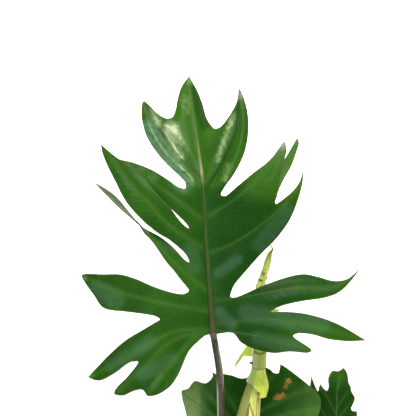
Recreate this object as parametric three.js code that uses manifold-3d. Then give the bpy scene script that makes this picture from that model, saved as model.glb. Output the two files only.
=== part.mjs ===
// A potted Tahiti philodendron: a short leaning stem in a plain nursery pot, one large antler-lobed
// leaf held up in front of a pale new shoot, and four smaller leaves lower down.
// Millimetres, +Z up, the origin under the middle of the pot. The large leaf faces -Y.
import * as THREE from "three";
import { mergeVertices } from "three/addons/utils/BufferGeometryUtils.js";
import Module from "manifold-3d";

const wasm = await Module();
wasm.setup();

// Driving dimensions
const GAP = 0.3; // clearance between pieces that touch
const POT = { height: 150, footRadius: 58, rimRadius: 85, wall: 2.5, floor: 3, collarHeight: 24 };
const SOIL_TOP = 138;
const DRAIN = { count: 6, radius: 4.5, circle: 42 };
const ROUND_SIDES = 36; // sides of the pot and of the potting mix
const BLADE = 0.9; // leaf thickness
const SHEATH = 0.9; // thickness of the papery stem sheaths
const MARGIN_STEP = 7; // spacing of points along a leaf's margin
const INNER_STEP = 13; // longest edge inside a leaf
const LEAN_BACK = THREE.MathUtils.degToRad(12); // how far the upright leaves lean from the vertical
const RIB_START = -3.2; // where a leaf's rib is cut square, below the middle of its foot
const SIGHT = 1200; // the upright leaves' margins are laid out as seen from this far in front

const v2 = (x, y) => new THREE.Vector2(x, y);
const v3 = (x, y, z) => new THREE.Vector3(x, y, z);
const smooth = (t) => THREE.MathUtils.smoothstep(t, 0, 1);

// Piecewise linear value: stops are [position, value] in rising order.
function ramp(stops, at) {
  const next = stops.findIndex(([position]) => position >= at);
  if (next === 0) return stops[0][1];
  if (next < 0) return stops.at(-1)[1];
  const [[a, low], [b, high]] = [stops[next - 1], stops[next]];
  return low + ((high - low) * (at - a)) / (b - a);
}

// Booleans
function toSolid(geometry) {
  const bare = new THREE.BufferGeometry().setAttribute("position", geometry.getAttribute("position"));
  bare.setIndex(geometry.index);
  const merged = mergeVertices(bare, 1e-3);
  const vertProperties = merged.attributes.position.array;
  return new wasm.Manifold(new wasm.Mesh({ numProp: 3, vertProperties, triVerts: new Uint32Array(merged.index.array) }));
}

function toGeometry(solid) {
  const mesh = solid.getMesh();
  const geometry = new THREE.BufferGeometry();
  geometry.setAttribute("position", new THREE.BufferAttribute(new Float32Array(mesh.vertProperties), 3));
  return geometry.setIndex(new THREE.BufferAttribute(mesh.triVerts, 1));
}

// The largest piece of a cut solid, so that a loose sliver is dropped.
function mainBody(solid) {
  return solid.decompose().sort((a, b) => b.volume() - a.volume())[0];
}

// Flat triangulation of an outline, with points added inside so that the sheet can be curved.
const edgeKey = (a, b) => (a < b ? `${a},${b}` : `${b},${a}`);

function edgesOf(faces) {
  const edges = new Map();
  faces.forEach((face, index) => {
    face.forEach((a, corner) => {
      const b = face[(corner + 1) % 3];
      const key = edgeKey(a, b);
      if (!edges.has(key)) edges.set(key, []);
      edges.get(key).push({ index, a, b, apex: face[(corner + 2) % 3] });
    });
  });
  return edges;
}

const area2 = (p, q, r) => (q.x - p.x) * (r.y - p.y) - (q.y - p.y) * (r.x - p.x);

function angleAt(apex, a, b) {
  const [to, from] = [a.clone().sub(apex), b.clone().sub(apex)];
  return Math.acos(THREE.MathUtils.clamp(to.dot(from) / (to.length() * from.length()), -1, 1));
}

// Turns the shared edge of two faces wherever that makes both of them less thin.
function flipThinFaces(points, faces) {
  for (let pass = 0, flips = 1; flips && pass < 60; pass++) {
    flips = 0;
    const touched = new Set();
    for (const sides of edgesOf(faces).values()) {
      if (sides.length < 2 || sides.some((side) => touched.has(side.index))) continue;
      const [one, two] = sides;
      const [a, b, c, d] = [one.a, one.b, one.apex, two.apex].map((i) => points[i]);
      if (angleAt(c, a, b) + angleAt(d, a, b) < Math.PI + 1e-4) continue;
      if (area2(c, a, d) < 1e-6 || area2(d, b, c) < 1e-6) continue;
      faces[one.index] = [one.apex, one.a, two.apex];
      faces[two.index] = [two.apex, one.b, one.apex];
      touched.add(one.index).add(two.index);
      flips++;
    }
  }
}

function splitLongEdges(points, faces, longest) {
  const touched = new Set();
  const lengthOf = ([side]) => points[side.a].distanceTo(points[side.b]);
  const long = [...edgesOf(faces).values()].filter((sides) => sides.length === 2 && lengthOf(sides) > longest);
  long.sort((one, two) => lengthOf(two) - lengthOf(one));
  for (const sides of long) {
    if (sides.some((side) => touched.has(side.index))) continue;
    const middle = points.push(points[sides[0].a].clone().lerp(points[sides[0].b], 0.5)) - 1;
    for (const { index, a, b, apex } of sides) {
      faces[index] = [a, middle, apex];
      faces.push([middle, b, apex]);
      touched.add(index).add(faces.length - 1);
    }
  }
  return touched.size > 0;
}

// Moves each inner point to the middle of its neighbours where no face turns over.
function relax(points, faces, firstInner) {
  const neighbours = points.map(() => new Set());
  const around = points.map(() => []);
  faces.forEach((face, index) =>
    face.forEach((a, corner) => {
      neighbours[a].add(face[(corner + 1) % 3]).add(face[(corner + 2) % 3]);
      around[a].push(index);
    }),
  );
  for (let i = firstInner; i < points.length; i++) {
    const before = points[i].clone();
    const near = [...neighbours[i]];
    points[i].set(0, 0);
    near.forEach((j) => points[i].add(points[j]));
    points[i].divideScalar(near.length);
    const turned = around[i].some((f) => area2(...faces[f].map((j) => points[j])) < 0.4);
    if (turned) points[i].copy(before);
  }
}

function flatSheet(outline, longest) {
  const points = THREE.ShapeUtils.isClockWise(outline) ? outline.slice().reverse() : outline.slice();
  const faces = THREE.ShapeUtils.triangulateShape(points, []);
  const firstInner = points.length;
  flipThinFaces(points, faces);
  for (let round = 0; round < 20 && splitLongEdges(points, faces, longest); round++) flipThinFaces(points, faces);
  for (let round = 0; round < 3; round++) {
    relax(points, faces, firstInner);
    flipThinFaces(points, faces);
  }
  return { points, faces };
}

// A closed thin solid: the flat sheet laid on the surface that place(u, v) gives, with both faces split alike.
function thickSheet({ points, faces }, place, thickness) {
  const middle = points.map((p) => place(p.x, p.y));
  const normals = points.map(() => v3(0, 0, 0));
  for (const face of faces) {
    const [a, b, c] = face.map((i) => middle[i]);
    const normal = b.clone().sub(a).cross(c.clone().sub(a));
    face.forEach((i) => normals[i].add(normal));
  }
  const count = points.length;
  const position = new Float32Array(count * 6);
  middle.forEach((p, i) => {
    const half = normals[i].normalize().multiplyScalar(thickness / 2);
    p.clone().add(half).toArray(position, i * 3);
    p.clone().sub(half).toArray(position, (i + count) * 3);
  });
  const index = [];
  for (const [a, b, c] of faces) index.push(a, b, c, a + count, c + count, b + count);
  for (const sides of edgesOf(faces).values()) {
    if (sides.length > 1) continue;
    const { a, b } = sides[0];
    index.push(a, a + count, b + count, a, b + count, b);
  }
  const geometry = new THREE.BufferGeometry();
  geometry.setAttribute("position", new THREE.BufferAttribute(position, 3));
  return geometry.setIndex(index);
}

// A round limb along a curve: a lathed cylinder, bent, with a radius for each share t of its length.
function limb(curve, radiusAt, sides, steps) {
  const profile = [v2(0, 0)];
  for (let i = 0; i <= steps; i++) profile.push(v2(1, i / steps));
  profile.push(v2(0, 1));
  const geometry = new THREE.LatheGeometry(profile, sides);
  const position = geometry.getAttribute("position");
  const across = v3(0, 0, 0).crossVectors(curve.getTangent(0.5), v3(0.31, 0.17, 0.94)).normalize();
  const frames = profile.slice(1, -1).map(({ y: t }) => {
    const tangent = curve.getTangentAt(t);
    const side = across.clone().addScaledVector(tangent, -across.dot(tangent)).normalize();
    return { t, centre: curve.getPointAt(t), side, up: v3(0, 0, 0).crossVectors(side, tangent), radius: radiusAt(t) };
  });
  for (let i = 0; i < position.count; i++) {
    const [x, t, z] = [position.getX(i), position.getY(i), position.getZ(i)];
    const { centre, side, up, radius } = frames[Math.round(t * steps)];
    const p = centre.clone().addScaledVector(side, x * radius).addScaledVector(up, z * radius);
    position.setXYZ(i, p.x, p.y, p.z);
  }
  return geometry;
}

const curveThrough = (points) => new THREE.CatmullRomCurve3(points.map((p) => v3(...p)));

// Leaf margins. A lobe's margin rises from the last notch to its tip and falls to the next notch.
// Each is [across, along] in mm from the joint of stalk and blade, as seen from the leaf's face.
// sway and twist are degrees, back is mm, all growing from the lobe's foot to its tip; turn gives the
// twist at distances along the lobe; slide is mm across, reached soon after the foot.
// sight is the point of the leaf's plane straight ahead of the eye that sees the margin like this.
const LARGE_LEAF = {
  start: [-3, -1.5],
  sight: [-5.5, 125],
  midrib: [[0, -6], [-3, 33], [-5, 63], [-7.5, 93], [-9, 123], [-10.5, 146], [-13, 168], [-16.5, 193],
    [-20.5, 218], [-24, 250]],
  ribRadius: [[0, 3.3], [0.3, 2.6], [0.6, 1.7], [1, 0.7]],
  lobes: [
    { rise: [[-8, -2.5], [-16, -9], [-24.5, -18], [-30, -30], [-36.5, -44], [-44, -54], [-55.5, -61.5]],
      tip: [-66, -63], blunt: true, fall: [[-68.5, -58]], notch: [-72, -56], back: -6 },
    { rise: [[-80, -58], [-90, -62.5]], tip: [-99, -61], blunt: true,
      fall: [[-97, -54.5], [-86.5, -44], [-79, -35]], notch: [-74, -28], twist: 12, back: 5 },
    { rise: [[-81, -28.5], [-88, -32], [-97, -39], [-110, -46.5], [-118, -47.5]], tip: [-125.5, -44],
      fall: [[-117, -35], [-103.5, -21], [-88, -7.5], [-70, 3.5]], notch: [-52.5, 14], twist: -10, back: 14 },
    { rise: [[-60, 17.3], [-73.5, 19.5], [-90, 21.5], [-106, 23.3], [-113, 27.5], [-118.5, 36], [-125, 45]],
      tip: [-131.5, 56], blunt: true, fall: [[-129, 59.3], [-110, 59], [-94, 59], [-78, 54.5], [-58.5, 46],
        [-42, 40.7], [-30, 39]], notch: [-23.5, 42], twist: 14, back: 16 },
    { rise: [[-33.5, 54], [-40.5, 63], [-48, 71.5], [-62.7, 91.5], [-71, 97.3], [-80.5, 104.6], [-91.3, 111.7],
        [-102, 118.2], [-111.5, 126.5], [-115.8, 137]], tip: [-118.5, 150],
      fall: [[-109.8, 144.2], [-93.5, 131.7], [-78.2, 117], [-67.8, 106.7], [-55.4, 99.1], [-43, 89], [-29, 73.5]],
      notch: [-23.5, 70], foot: [-23.5, 60], back: 4,
      turn: [[8, 0], [25, -14], [50, -41], [60, -63], [66, -81], [72, -96], [100, -110], [131, -112]] },
    { rise: [[-29, 80], [-43.5, 92.5], [-58, 101.5], [-73.5, 115], [-88, 132], [-98.5, 152], [-107, 169],
        [-111.5, 181]], tip: [-112.5, 189], fall: [[-103, 180.5], [-92.5, 172.5], [-80.5, 164], [-68.5, 153],
        [-56.5, 139], [-42.5, 124], [-33, 111.5]], notch: [-24, 103.5], back: -5 },
    { rise: [[-28.5, 112.5], [-42, 127.5], [-56, 143], [-68, 156.5], [-80, 168.5]], tip: [-87.5, 180.5],
      fall: [[-82.5, 178.5], [-74, 174.8], [-58.4, 164.9], [-42.4, 152.2], [-34.8, 146.4]], notch: [-28, 143.3],
      sway: 6, twist: -16, back: 13 },
    { rise: [[-29, 151.5], [-43.5, 165.5], [-56, 179], [-66.5, 195], [-71.5, 212], [-72, 226]],
      tip: [-69.5, 232], blunt: true, fall: [[-64, 227.5], [-55.5, 219], [-46.5, 214.2]],
      notch: [-40.5, 215.5], twist: 10, back: -8 },
    { rise: [[-38, 223], [-35, 238], [-31, 248]], tip: [-24.5, 257],
      fall: [[-16.5, 243], [-11, 229], [-6.5, 214]], notch: [1, 203.5], back: 4 },
    { rise: [[5.5, 204.7], [13, 213], [21.5, 227], [24.3, 237]], tip: [24.8, 246.5],
      fall: [[30, 236.5], [34.5, 220], [35.3, 200], [31.5, 180], [22, 161], [12, 147]], notch: [6.5, 138],
      twist: -14, back: -6 },
    { rise: [[12, 137], [24, 147], [40.5, 160.7], [51.5, 169], [60, 177.5]], tip: [70.9, 193],
      fall: [[73.2, 183], [70.4, 172], [68.2, 163], [66.5, 154], [65, 144], [63.4, 136]], notch: [61, 130],
      back: -7 },
    { rise: [[63.4, 132.2], [65.9, 139], [67.9, 150], [72, 162], [77.5, 172], [85.2, 182.3]], tip: [93.3, 193.4],
      fall: [[94.6, 187.8], [92.2, 181.4], [87.7, 171.9], [83.6, 164.5], [78.4, 157], [73.5, 149], [69.4, 140],
        [66, 133.2]], notch: [62.8, 129], sway: 4, slide: -5, back: 8 },
    { rise: [[70.5, 134.5], [79.5, 142.3], [86.2, 151.5]], tip: [89.5, 162.5],
      fall: [[88.9, 150], [84.4, 133], [76.4, 113.5], [63.6, 95.5], [45.5, 77], [29, 58], [20.3, 47]],
      notch: [16.3, 35.5], back: 5 },
    { rise: [[25, 36.7], [48.5, 47], [72, 55.5], [90, 59], [105, 56], [121, 51.8], [135, 54.5]],
      tip: [147.5, 65.5], fall: [[137, 51], [126, 40.8], [112, 35.3], [88, 31.7], [68, 27]],
      notch: [56, 21], twist: 16, back: 12 },
    { rise: [[70, 21.3], [90, 19.5], [111.5, 14], [130, 6]], tip: [152.5, -7.5],
      fall: [[134, -8.2], [115, -6], [100, -1.7], [85, -0.2]], notch: [78, -2.5], back: 20 },
    { rise: [[84, -7], [92, -12]], tip: [98, -16.8], blunt: true,
      fall: [[94, -19.8], [76, -18.5], [60, -20], [42, -16.2], [28, -9.5], [19, 0]], notch: [3.5, -1], back: 6 },
  ],
  fold: 0.2, droop: 0.0017, bendFrom: 146, bendSlope: 0.36,
};

const BROAD_LEAF = {
  start: [-2, -1],
  sight: [-38, 250],
  midrib: [[0, -6], [3, 20], [7, 45], [12, 66], [16, 82]],
  ribRadius: [[0, 2.2], [1, 0.6]],
  lobes: [
    { rise: [[-12, -8.5], [-28, -16]], tip: [-44, -17], fall: [[-45, -9]], notch: [-46, -3], back: 5 },
    { rise: [[-52, -3]], tip: [-60, 2], fall: [[-59, 12], [-62, 28], [-66, 42.5]], notch: [-66.3, 47], back: 7 },
    { rise: [[-67, 49]], tip: [-68, 51.5], fall: [[-63, 52.5]], notch: [-59.5, 53], back: 4 },
    { rise: [[-57, 57]], tip: [-52.5, 62], blunt: true, fall: [[-47.5, 61]], notch: [-41, 58.5], back: 3 },
    { rise: [[-36, 62.5], [-33, 67]], tip: [-34, 72.5], fall: [[-30.5, 70], [-20.5, 69.5], [-12, 68], [-3.5, 65]],
      notch: [4.5, 65] },
    { rise: [[10, 74]], tip: [17.5, 87], fall: [[23, 78], [29.5, 74.5], [34, 70]], notch: [39, 69.5], back: 3 },
    { rise: [[40, 75]], tip: [40.5, 80.5], fall: [[49, 75], [59.5, 67], [71.5, 57.5], [79, 51], [83.5, 44],
        [84.5, 38], [82.5, 27]], notch: [79, 19], back: 2 },
    { rise: [[83, 13]], tip: [84, 5], fall: [[74, -2]], notch: [62, -3], back: 3 },
    { rise: [[58, -9]], tip: [46, -15], fall: [[30, -12], [16, -6]], notch: [2, -1], back: 3 },
  ],
  fold: 0.16, droop: 0.0012, bendFrom: 90, bendSlope: 0,
};

const RIGHT_LEAF = {
  start: [-1.5, -0.5],
  sight: [-140, 263],
  midrib: [[0, -6], [0, 20], [0.5, 45], [1.5, 66], [3, 78]],
  ribRadius: [[0, 1.8], [1, 0.5]],
  lobes: [
    { rise: [[-12, -2]], tip: [-25, 4.5], fall: [[-26, 14]], notch: [-21.5, 21.5], back: 5 },
    { rise: [[-28, 30], [-30, 46.5], [-28.7, 64.5]], tip: [-27, 78.5], fall: [[-23.5, 69]], notch: [-19.5, 60.5],
      back: 6 },
    { rise: [[-19, 66]], tip: [-17, 70.5], fall: [[-14, 66]], notch: [-9.5, 61.5], back: 2 },
    { rise: [[-8, 68], [-8.5, 75.5], [-6.5, 81.5]], tip: [-3, 86], fall: [[-0.5, 84]], notch: [2, 83.5], back: -3 },
    { rise: [[5, 85.5]], tip: [8.5, 88.3], fall: [[12, 82.5], [13.5, 73.5]], notch: [14, 70], back: -3 },
    { rise: [[15, 69.5]], tip: [16.5, 68], fall: [[16.5, 65]], notch: [16, 62], back: 2 },
    { rise: [[18.5, 59]], tip: [20.5, 55], blunt: true, fall: [[19, 49.5]], notch: [15.5, 42.5], back: 3 },
    { rise: [[17, 40]], tip: [22.5, 40], fall: [[23, 36.5], [20.5, 29]], notch: [16, 21.5], back: 4 },
    { rise: [[21, 18]], tip: [25, 13], fall: [[17, 2]], notch: [1.5, -0.5], back: 4 },
  ],
  fold: 0.22, droop: 0.006, bendFrom: 60, bendSlope: 0.2,
};

// A younger, even leaf: the margin of its right half, then the same mirrored.
const YOUNG_HALF = [
  { rise: [[6, 98]], tip: [0, 116] },
  { notch: [13, 80], fall: [[15, 92]], tip: [42, 86], rise: [[31, 71]] },
  { notch: [18, 56], fall: [[29, 69]], tip: [57, 52], rise: [[41, 41]] },
  { notch: [21, 31], fall: [[38, 44]], tip: [59, 14], rise: [[42, 8]] },
  { notch: [21, 8], fall: [[42, 24]], tip: [38, -18], rise: [[15, -11]] },
];

// An even leaf of a given length, from the left of its foot round to the right.
function youngLeaf(length, lobeBack) {
  const k = length / 116;
  const at = ([x, y], side) => [x * side * k, y * k];
  const side = (sign) => {
    const order = sign < 0 ? YOUNG_HALF.slice(1).reverse() : YOUNG_HALF.slice(1);
    return order.map(({ notch, fall, tip, rise }) => ({
      foot: at(notch, sign), inner: fall.map((p) => at(p, sign)), tip: at(tip, sign), outer: rise.map((p) => at(p, sign)),
    }));
  };
  const [left, right] = [side(-1), side(1)];
  const lobes = left.map(({ foot, inner, tip, outer }) => ({ rise: outer, tip, fall: inner, notch: foot, back: lobeBack }));
  const crown = YOUNG_HALF[0].rise;
  lobes.push({
    rise: [at([15, 92], -1), at(crown[0], -1)], tip: at(YOUNG_HALF[0].tip, 1),
    fall: [at(crown[0], 1), at([15, 92], 1)], notch: right[0].foot, back: lobeBack,
  });
  right.forEach(({ inner, tip, outer }, i) => {
    const notch = i + 1 < right.length ? right[i + 1].foot : [2, -1];
    lobes.push({ rise: inner, tip, fall: outer, notch, back: lobeBack });
  });
  const midrib = [[0, -6], [0, length * 0.5], [0, length * 0.94]];
  return { start: [-2, -1], midrib, ribRadius: [[0, 2], [1, 0.5]], lobes, fold: 0.24, droop: 0.005, bendFrom: length * 0.4,
    bendSlope: 0.3 };
}

// Splits the margin into lobes, each with its outline, foot line and axis.
function tracedLobes(leaf, step) {
  let notch = leaf.start;
  return leaf.lobes.map((lobe) => {
    const stretches = lobe.blunt
      ? [[notch, ...lobe.rise, lobe.tip, ...lobe.fall, lobe.notch]]
      : [[notch, ...lobe.rise, lobe.tip], [lobe.tip, ...lobe.fall, lobe.notch]];
    const margin = stretches.flatMap((stretch) => {
      const spline = new THREE.SplineCurve(stretch.map((p) => v2(...p)));
      return spline.points.slice(1).flatMap((point, i) => {
        const pieces = Math.max(1, Math.round(point.distanceTo(spline.points[i]) / step));
        return Array.from({ length: pieces }, (_, k) => spline.getPoint((i + k / pieces) / (stretch.length - 1)));
      });
    });
    const [from, to, tip] = [notch, lobe.notch, lobe.tip].map((p) => v2(...p));
    const foot = lobe.foot ? v2(...lobe.foot) : from.clone().lerp(to, 0.5);
    const outward = v2(-(to.y - from.y), to.x - from.x).normalize();
    if (outward.dot(tip.clone().sub(foot)) < 0) outward.negate();
    const reach = Math.max(...margin.map((p) => outward.dot(p.clone().sub(foot))));
    const axis = tip.clone().sub(foot).normalize();
    notch = lobe.notch;
    return { ...lobe, margin, ring: [...margin, to], foot, outward, reach, axis };
  });
}

function distanceToRing(p, ring) {
  let inside = false;
  let nearest = Infinity;
  ring.forEach((a, i) => {
    const b = ring[(i + 1) % ring.length];
    const along = b.clone().sub(a);
    const t = THREE.MathUtils.clamp(p.clone().sub(a).dot(along) / along.lengthSq(), 0, 1);
    nearest = Math.min(nearest, a.clone().addScaledVector(along, t).distanceTo(p));
    if (a.y > p.y !== b.y > p.y && p.x < a.x + ((b.x - a.x) * (p.y - a.y)) / (b.y - a.y)) inside = !inside;
  });
  return inside ? 0 : nearest;
}

// The leaf's surface in its own frame: across, along, and towards the face.
function leafSurface(leaf, lobes) {
  const rib = leaf.midrib.map(([x, y]) => [y, x]);
  return (u, v) => {
    const p = v2(u, v);
    let height = 0;
    const lobe = lobes.find(({ ring }) => distanceToRing(p, ring) < 0.05);
    const past = lobe ? p.clone().sub(lobe.foot).dot(lobe.outward) : 0;
    if (past > 0) {
      const share = smooth(past / lobe.reach);
      const from = p.clone().sub(lobe.foot);
      const along = from.dot(lobe.axis);
      const across = from.cross(lobe.axis);
      const twist = THREE.MathUtils.degToRad(lobe.turn ? ramp(lobe.turn, along) : (lobe.twist ?? 0) * share);
      const turned = across * Math.cos(twist);
      height += across * Math.sin(twist) - (lobe.back ?? 0) * share;
      const flat = v2(lobe.axis.y, -lobe.axis.x).multiplyScalar(turned).addScaledVector(lobe.axis, along);
      p.copy(flat.rotateAround(v2(0, 0), THREE.MathUtils.degToRad(lobe.sway ?? 0) * share)).add(lobe.foot);
      p.x += (lobe.slide ?? 0) * smooth(past / 12);
    }
    const off = Math.abs(p.x - ramp(rib, p.y));
    const soft = 6;
    height += leaf.fold * (Math.hypot(off, soft) - soft) - leaf.droop * off * off;
    const beyond = (p.y - leaf.bendFrom) / 8;
    height -= leaf.bendSlope * 8 * Math.log1p(Math.exp(Math.min(beyond, 30)));
    if (leaf.sight) p.sub(v2(...leaf.sight)).multiplyScalar(1 - height / SIGHT).add(v2(...leaf.sight));
    return v3(p.x, p.y, height);
  };
}

// A blade with its raised midrib, in the frame given by its foot, its direction and the way that it faces.
function leafFrame(foot, towardsTip, facing) {
  const up = v3(...towardsTip).normalize();
  const face = v3(...facing);
  face.addScaledVector(up, -face.dot(up)).normalize();
  const across = v3(0, 0, 0).crossVectors(up, face);
  return new THREE.Matrix4().makeBasis(across, up, face).setPosition(...foot);
}

function blade(leaf, frame, marginStep = MARGIN_STEP, innerStep = INNER_STEP) {
  const lobes = tracedLobes(leaf, marginStep);
  const surface = leafSurface(leaf, lobes);
  const outline = [...lobes.flatMap((lobe) => lobe.margin), v2(...leaf.lobes.at(-1).notch)];
  const sheet = toSolid(thickSheet(flatSheet(outline, innerStep), surface, BLADE));
  const ribCurve = new THREE.CatmullRomCurve3(leaf.midrib.map(([x, y]) => surface(x, y)));
  const rib = toSolid(limb(ribCurve, (t) => ramp(leaf.ribRadius, t), 6, 14)).trimByPlane([0, 1, 0], RIB_START);
  return toGeometry(mainBody(sheet.add(rib))).applyMatrix4(frame);
}

// Stem: a leaning axis, with a radius at each height
const stemAxis = curveThrough([[0, 0, 84], [0, 0, 112], [1, 0, 140], [6, 0, 172], [13, 0, 204], [20.2, 0, 234],
  [23.4, 0, 252], [27.4, 0, 269], [31, 0, 289], [31.7, 0, 303]]);
const STEM_RADIUS = [[84, 8], [140, 10], [168, 10.2], [176, 11], [184, 10.2], [200, 10.6], [234, 10.4], [252, 8.4],
  [268, 6.7], [290, 5.9], [303, 5.7]];
const stemRadius = (z) => ramp(STEM_RADIUS, z);

// The axis at a height, found on the curve by bisection.
function stemCentre(z) {
  let [low, high] = [0, 1];
  for (let i = 0; i < 24; i++) {
    const middle = (low + high) / 2;
    if (stemAxis.getPoint(middle).z < z) low = middle;
    else high = middle;
  }
  const { x, y } = stemAxis.getPoint(low);
  return z > 303 ? v3(31.9, 0, z) : v3(x, y, z);
}

function stem(extra = 0) {
  const profile = STEM_RADIUS.flatMap(([z], i) => {
    const next = STEM_RADIUS[i + 1];
    return next ? [z, (z + next[0]) / 2] : [z];
  });
  const rings = profile.map((z) => v2(stemRadius(z) + extra, z));
  const low = rings[0].y - extra;
  const outline = [v2(0, low), v2(rings[0].x, low), ...rings.slice(1), v2(0, rings.at(-1).y)];
  const geometry = new THREE.LatheGeometry(outline, 14).rotateX(Math.PI / 2);
  const position = geometry.getAttribute("position");
  for (let i = 0; i < position.count; i++) {
    const centre = stemCentre(position.getZ(i));
    position.setXYZ(i, position.getX(i) + centre.x, position.getY(i) + centre.y, position.getZ(i));
  }
  return geometry;
}

// A straight-sided outline with a point at least every so many mm.
function stepped(corners, longest) {
  return corners.flatMap((corner, i) => {
    const next = corners[(i + 1) % corners.length];
    const pieces = Math.max(1, Math.round(corner.distanceTo(next) / longest));
    return Array.from({ length: pieces }, (_, k) => corner.clone().lerp(next, k / pieces));
  });
}

// A papery sheath rolled round the stem: its outline is [degrees round from the front, height].
function sheath(outline, radiusAt, longest) {
  const unit = 0.45; // mm of flat width for each degree, which sets how fine the rolled facets are
  const margin = stepped(outline.map(([degrees, z]) => v2(degrees * unit, z)), longest);
  const place = (flat, z) => {
    const angle = THREE.MathUtils.degToRad(flat / unit);
    const radius = radiusAt(z, angle);
    return stemCentre(z).add(v3(Math.sin(angle) * radius, -Math.cos(angle) * radius, 0));
  };
  return thickSheet(flatSheet(margin, longest * 1.3), place, SHEATH);
}

// Holder
function pot() {
  const { height, footRadius, rimRadius, wall, floor, collarHeight } = POT;
  const collarFoot = height - collarHeight;
  const neck = rimRadius - 6;
  const profile = [[0, 0], [footRadius - 1.5, 0], [footRadius, 1.5], [neck, collarFoot], [rimRadius - 2, collarFoot + 0.5],
    [rimRadius - 1, collarFoot + 3], [rimRadius, height - 2], [rimRadius - 1, height], [rimRadius - 3.2, height],
    [rimRadius - 4, height - 2], [neck - wall, collarFoot - 4], [footRadius - wall, floor], [0, floor]];
  const shell = new THREE.LatheGeometry(profile.map((p) => v2(...p)), ROUND_SIDES).rotateX(Math.PI / 2);
  let solid = toSolid(shell);
  for (let i = 0; i < DRAIN.count; i++) {
    const angle = (i / DRAIN.count) * 2 * Math.PI;
    const hole = new THREE.CylinderGeometry(DRAIN.radius, DRAIN.radius, 4 * floor, 10).rotateX(Math.PI / 2);
    hole.translate(DRAIN.circle * Math.cos(angle), DRAIN.circle * Math.sin(angle), 0);
    solid = solid.subtract(toSolid(hole));
  }
  return toGeometry(solid);
}

// The pot's inner radius at a height between its floor and the soil.
function potInside(z) {
  const { height, footRadius, rimRadius, wall, floor, collarHeight } = POT;
  const bend = height - collarHeight - 4;
  const stops = [[floor, footRadius - wall], [bend, rimRadius - 6 - wall], [height - 2, rimRadius - 4]];
  return ramp(stops, z);
}

const SOIL_RINGS = [[0.97, -2.5], [0.78, 0.5], [0.58, -0.8], [0.38, 1.2], [0.2, 2]];

// The potting mix, with a low uneven top and plain holes where stem and roots stand.
function pottingMix(standing) {
  const low = POT.floor + GAP;
  const wallHeight = POT.height - POT.collarHeight - 4;
  const outline = [[0, low], [potInside(low) - GAP, low], [potInside(wallHeight) - GAP, wallHeight]];
  const edge = potInside(SOIL_TOP - 3) - GAP;
  outline.push([edge, SOIL_TOP - 3]);
  SOIL_RINGS.forEach(([share, rise]) => outline.push([edge * share, SOIL_TOP + rise]));
  outline.push([0, SOIL_TOP + 2]);
  const geometry = new THREE.LatheGeometry(outline.map((p) => v2(...p)), ROUND_SIDES).rotateX(Math.PI / 2);
  const position = geometry.getAttribute("position");
  for (let i = 0; i < position.count; i++) {
    const [x, y, z] = [position.getX(i), position.getY(i), position.getZ(i)];
    const open = z > SOIL_TOP - 4 ? smooth((edge - Math.hypot(x, y)) / 12) : 0;
    position.setZ(i, z + open * 1.4 * (Math.sin(x * 0.21 + 1) * Math.cos(y * 0.17) + Math.sin(x * 0.08 - y * 0.11)));
  }
  return toGeometry(mainBody(standing.reduce((solid, hole) => solid.subtract(hole), toSolid(geometry))));
}

// Stalks and roots, trimmed where they meet the stem
const STALKS = {
  large_leaf: { path: [[2, -1, 158], [-3, -9, 170], [-6, -15, 190], [-8, -22, 222], [-8.5, -26, 244.3],
      [-9.3, -33, 277.5], [-10.3, -36.5, 295.7]], lead: [4.1, -26.4, -10.2],
    radius: [[0, 6.5], [0.1, 5.8], [0.2, 4.6], [0.6, 3.9], [1, 3.4]] },
  broad_leaf: { path: [[2, 1, 154], [7, 12, 163], [11, 20, 174]], lead: [-1, -14, -1],
    radius: [[0, 5], [0.4, 4], [1, 2.4]] },
  right_leaf: { path: [[2, 0, 147], [20, 6, 152], [50, 16, 155], [84, 28, 159]], lead: [-7, -14, -1],
    radius: [[0, 4.6], [0.15, 3.6], [0.4, 2.6], [1, 2]] },
  low_leaf: { path: [[0, -1, 147], [-14, -12, 160], [-32, -27, 184]], lead: [0, -14, -2],
    radius: [[0, 4.6], [0.2, 3.4], [1, 2.1]] },
  back_leaf: { path: [[0, 2, 146], [-6, 12, 155], [-7, 26, 168]], lead: [0, -14, -2],
    radius: [[0, 4.6], [0.4, 3.4], [1, 2.1]] },
};

const ROOTS = [
  [[3, -3, 166], [-10, -11, 158], [-17, -17, 148], [-21, -21, 134], [-22, -23, 118]],
  [[4, 2, 160], [17, -9, 154], [26, -13, 146], [31, -15, 132], [32, -16, 116]],
  [[2, 4, 160], [-9, 12, 152], [-16, 18, 142], [-19, 21, 128], [-20, 22, 112]],
];
const rootRadius = (extra) => (t) => 1.9 - 0.5 * t + extra;

const upright = [v3(0, Math.sin(LEAN_BACK), Math.cos(LEAN_BACK)), v3(0, -Math.cos(LEAN_BACK), Math.sin(LEAN_BACK))];
const uprightLeaf = (foot) => leafFrame(foot, upright[0].toArray(), upright[1].toArray());
const LEAVES = {
  large_leaf: { shape: LARGE_LEAF, frame: uprightLeaf([-16.5, -45, 340]) },
  broad_leaf: { shape: BROAD_LEAF, frame: uprightLeaf([16, 30, 196.5]), marginStep: 6.5 },
  right_leaf: { shape: RIGHT_LEAF, frame: uprightLeaf([118.4, 40, 180.6]), marginStep: 5.5, innerStep: 11 },
  low_leaf: { shape: youngLeaf(118, 8), frame: leafFrame([-58, -49, 200], [-0.72, -0.6, -0.28], [-0.25, -0.2, 0.95]) },
  back_leaf: { shape: youngLeaf(108, 8), frame: leafFrame([-2, 47, 183], [0.25, 0.96, 0.12], [0, -0.12, 1]) },
};

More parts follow.
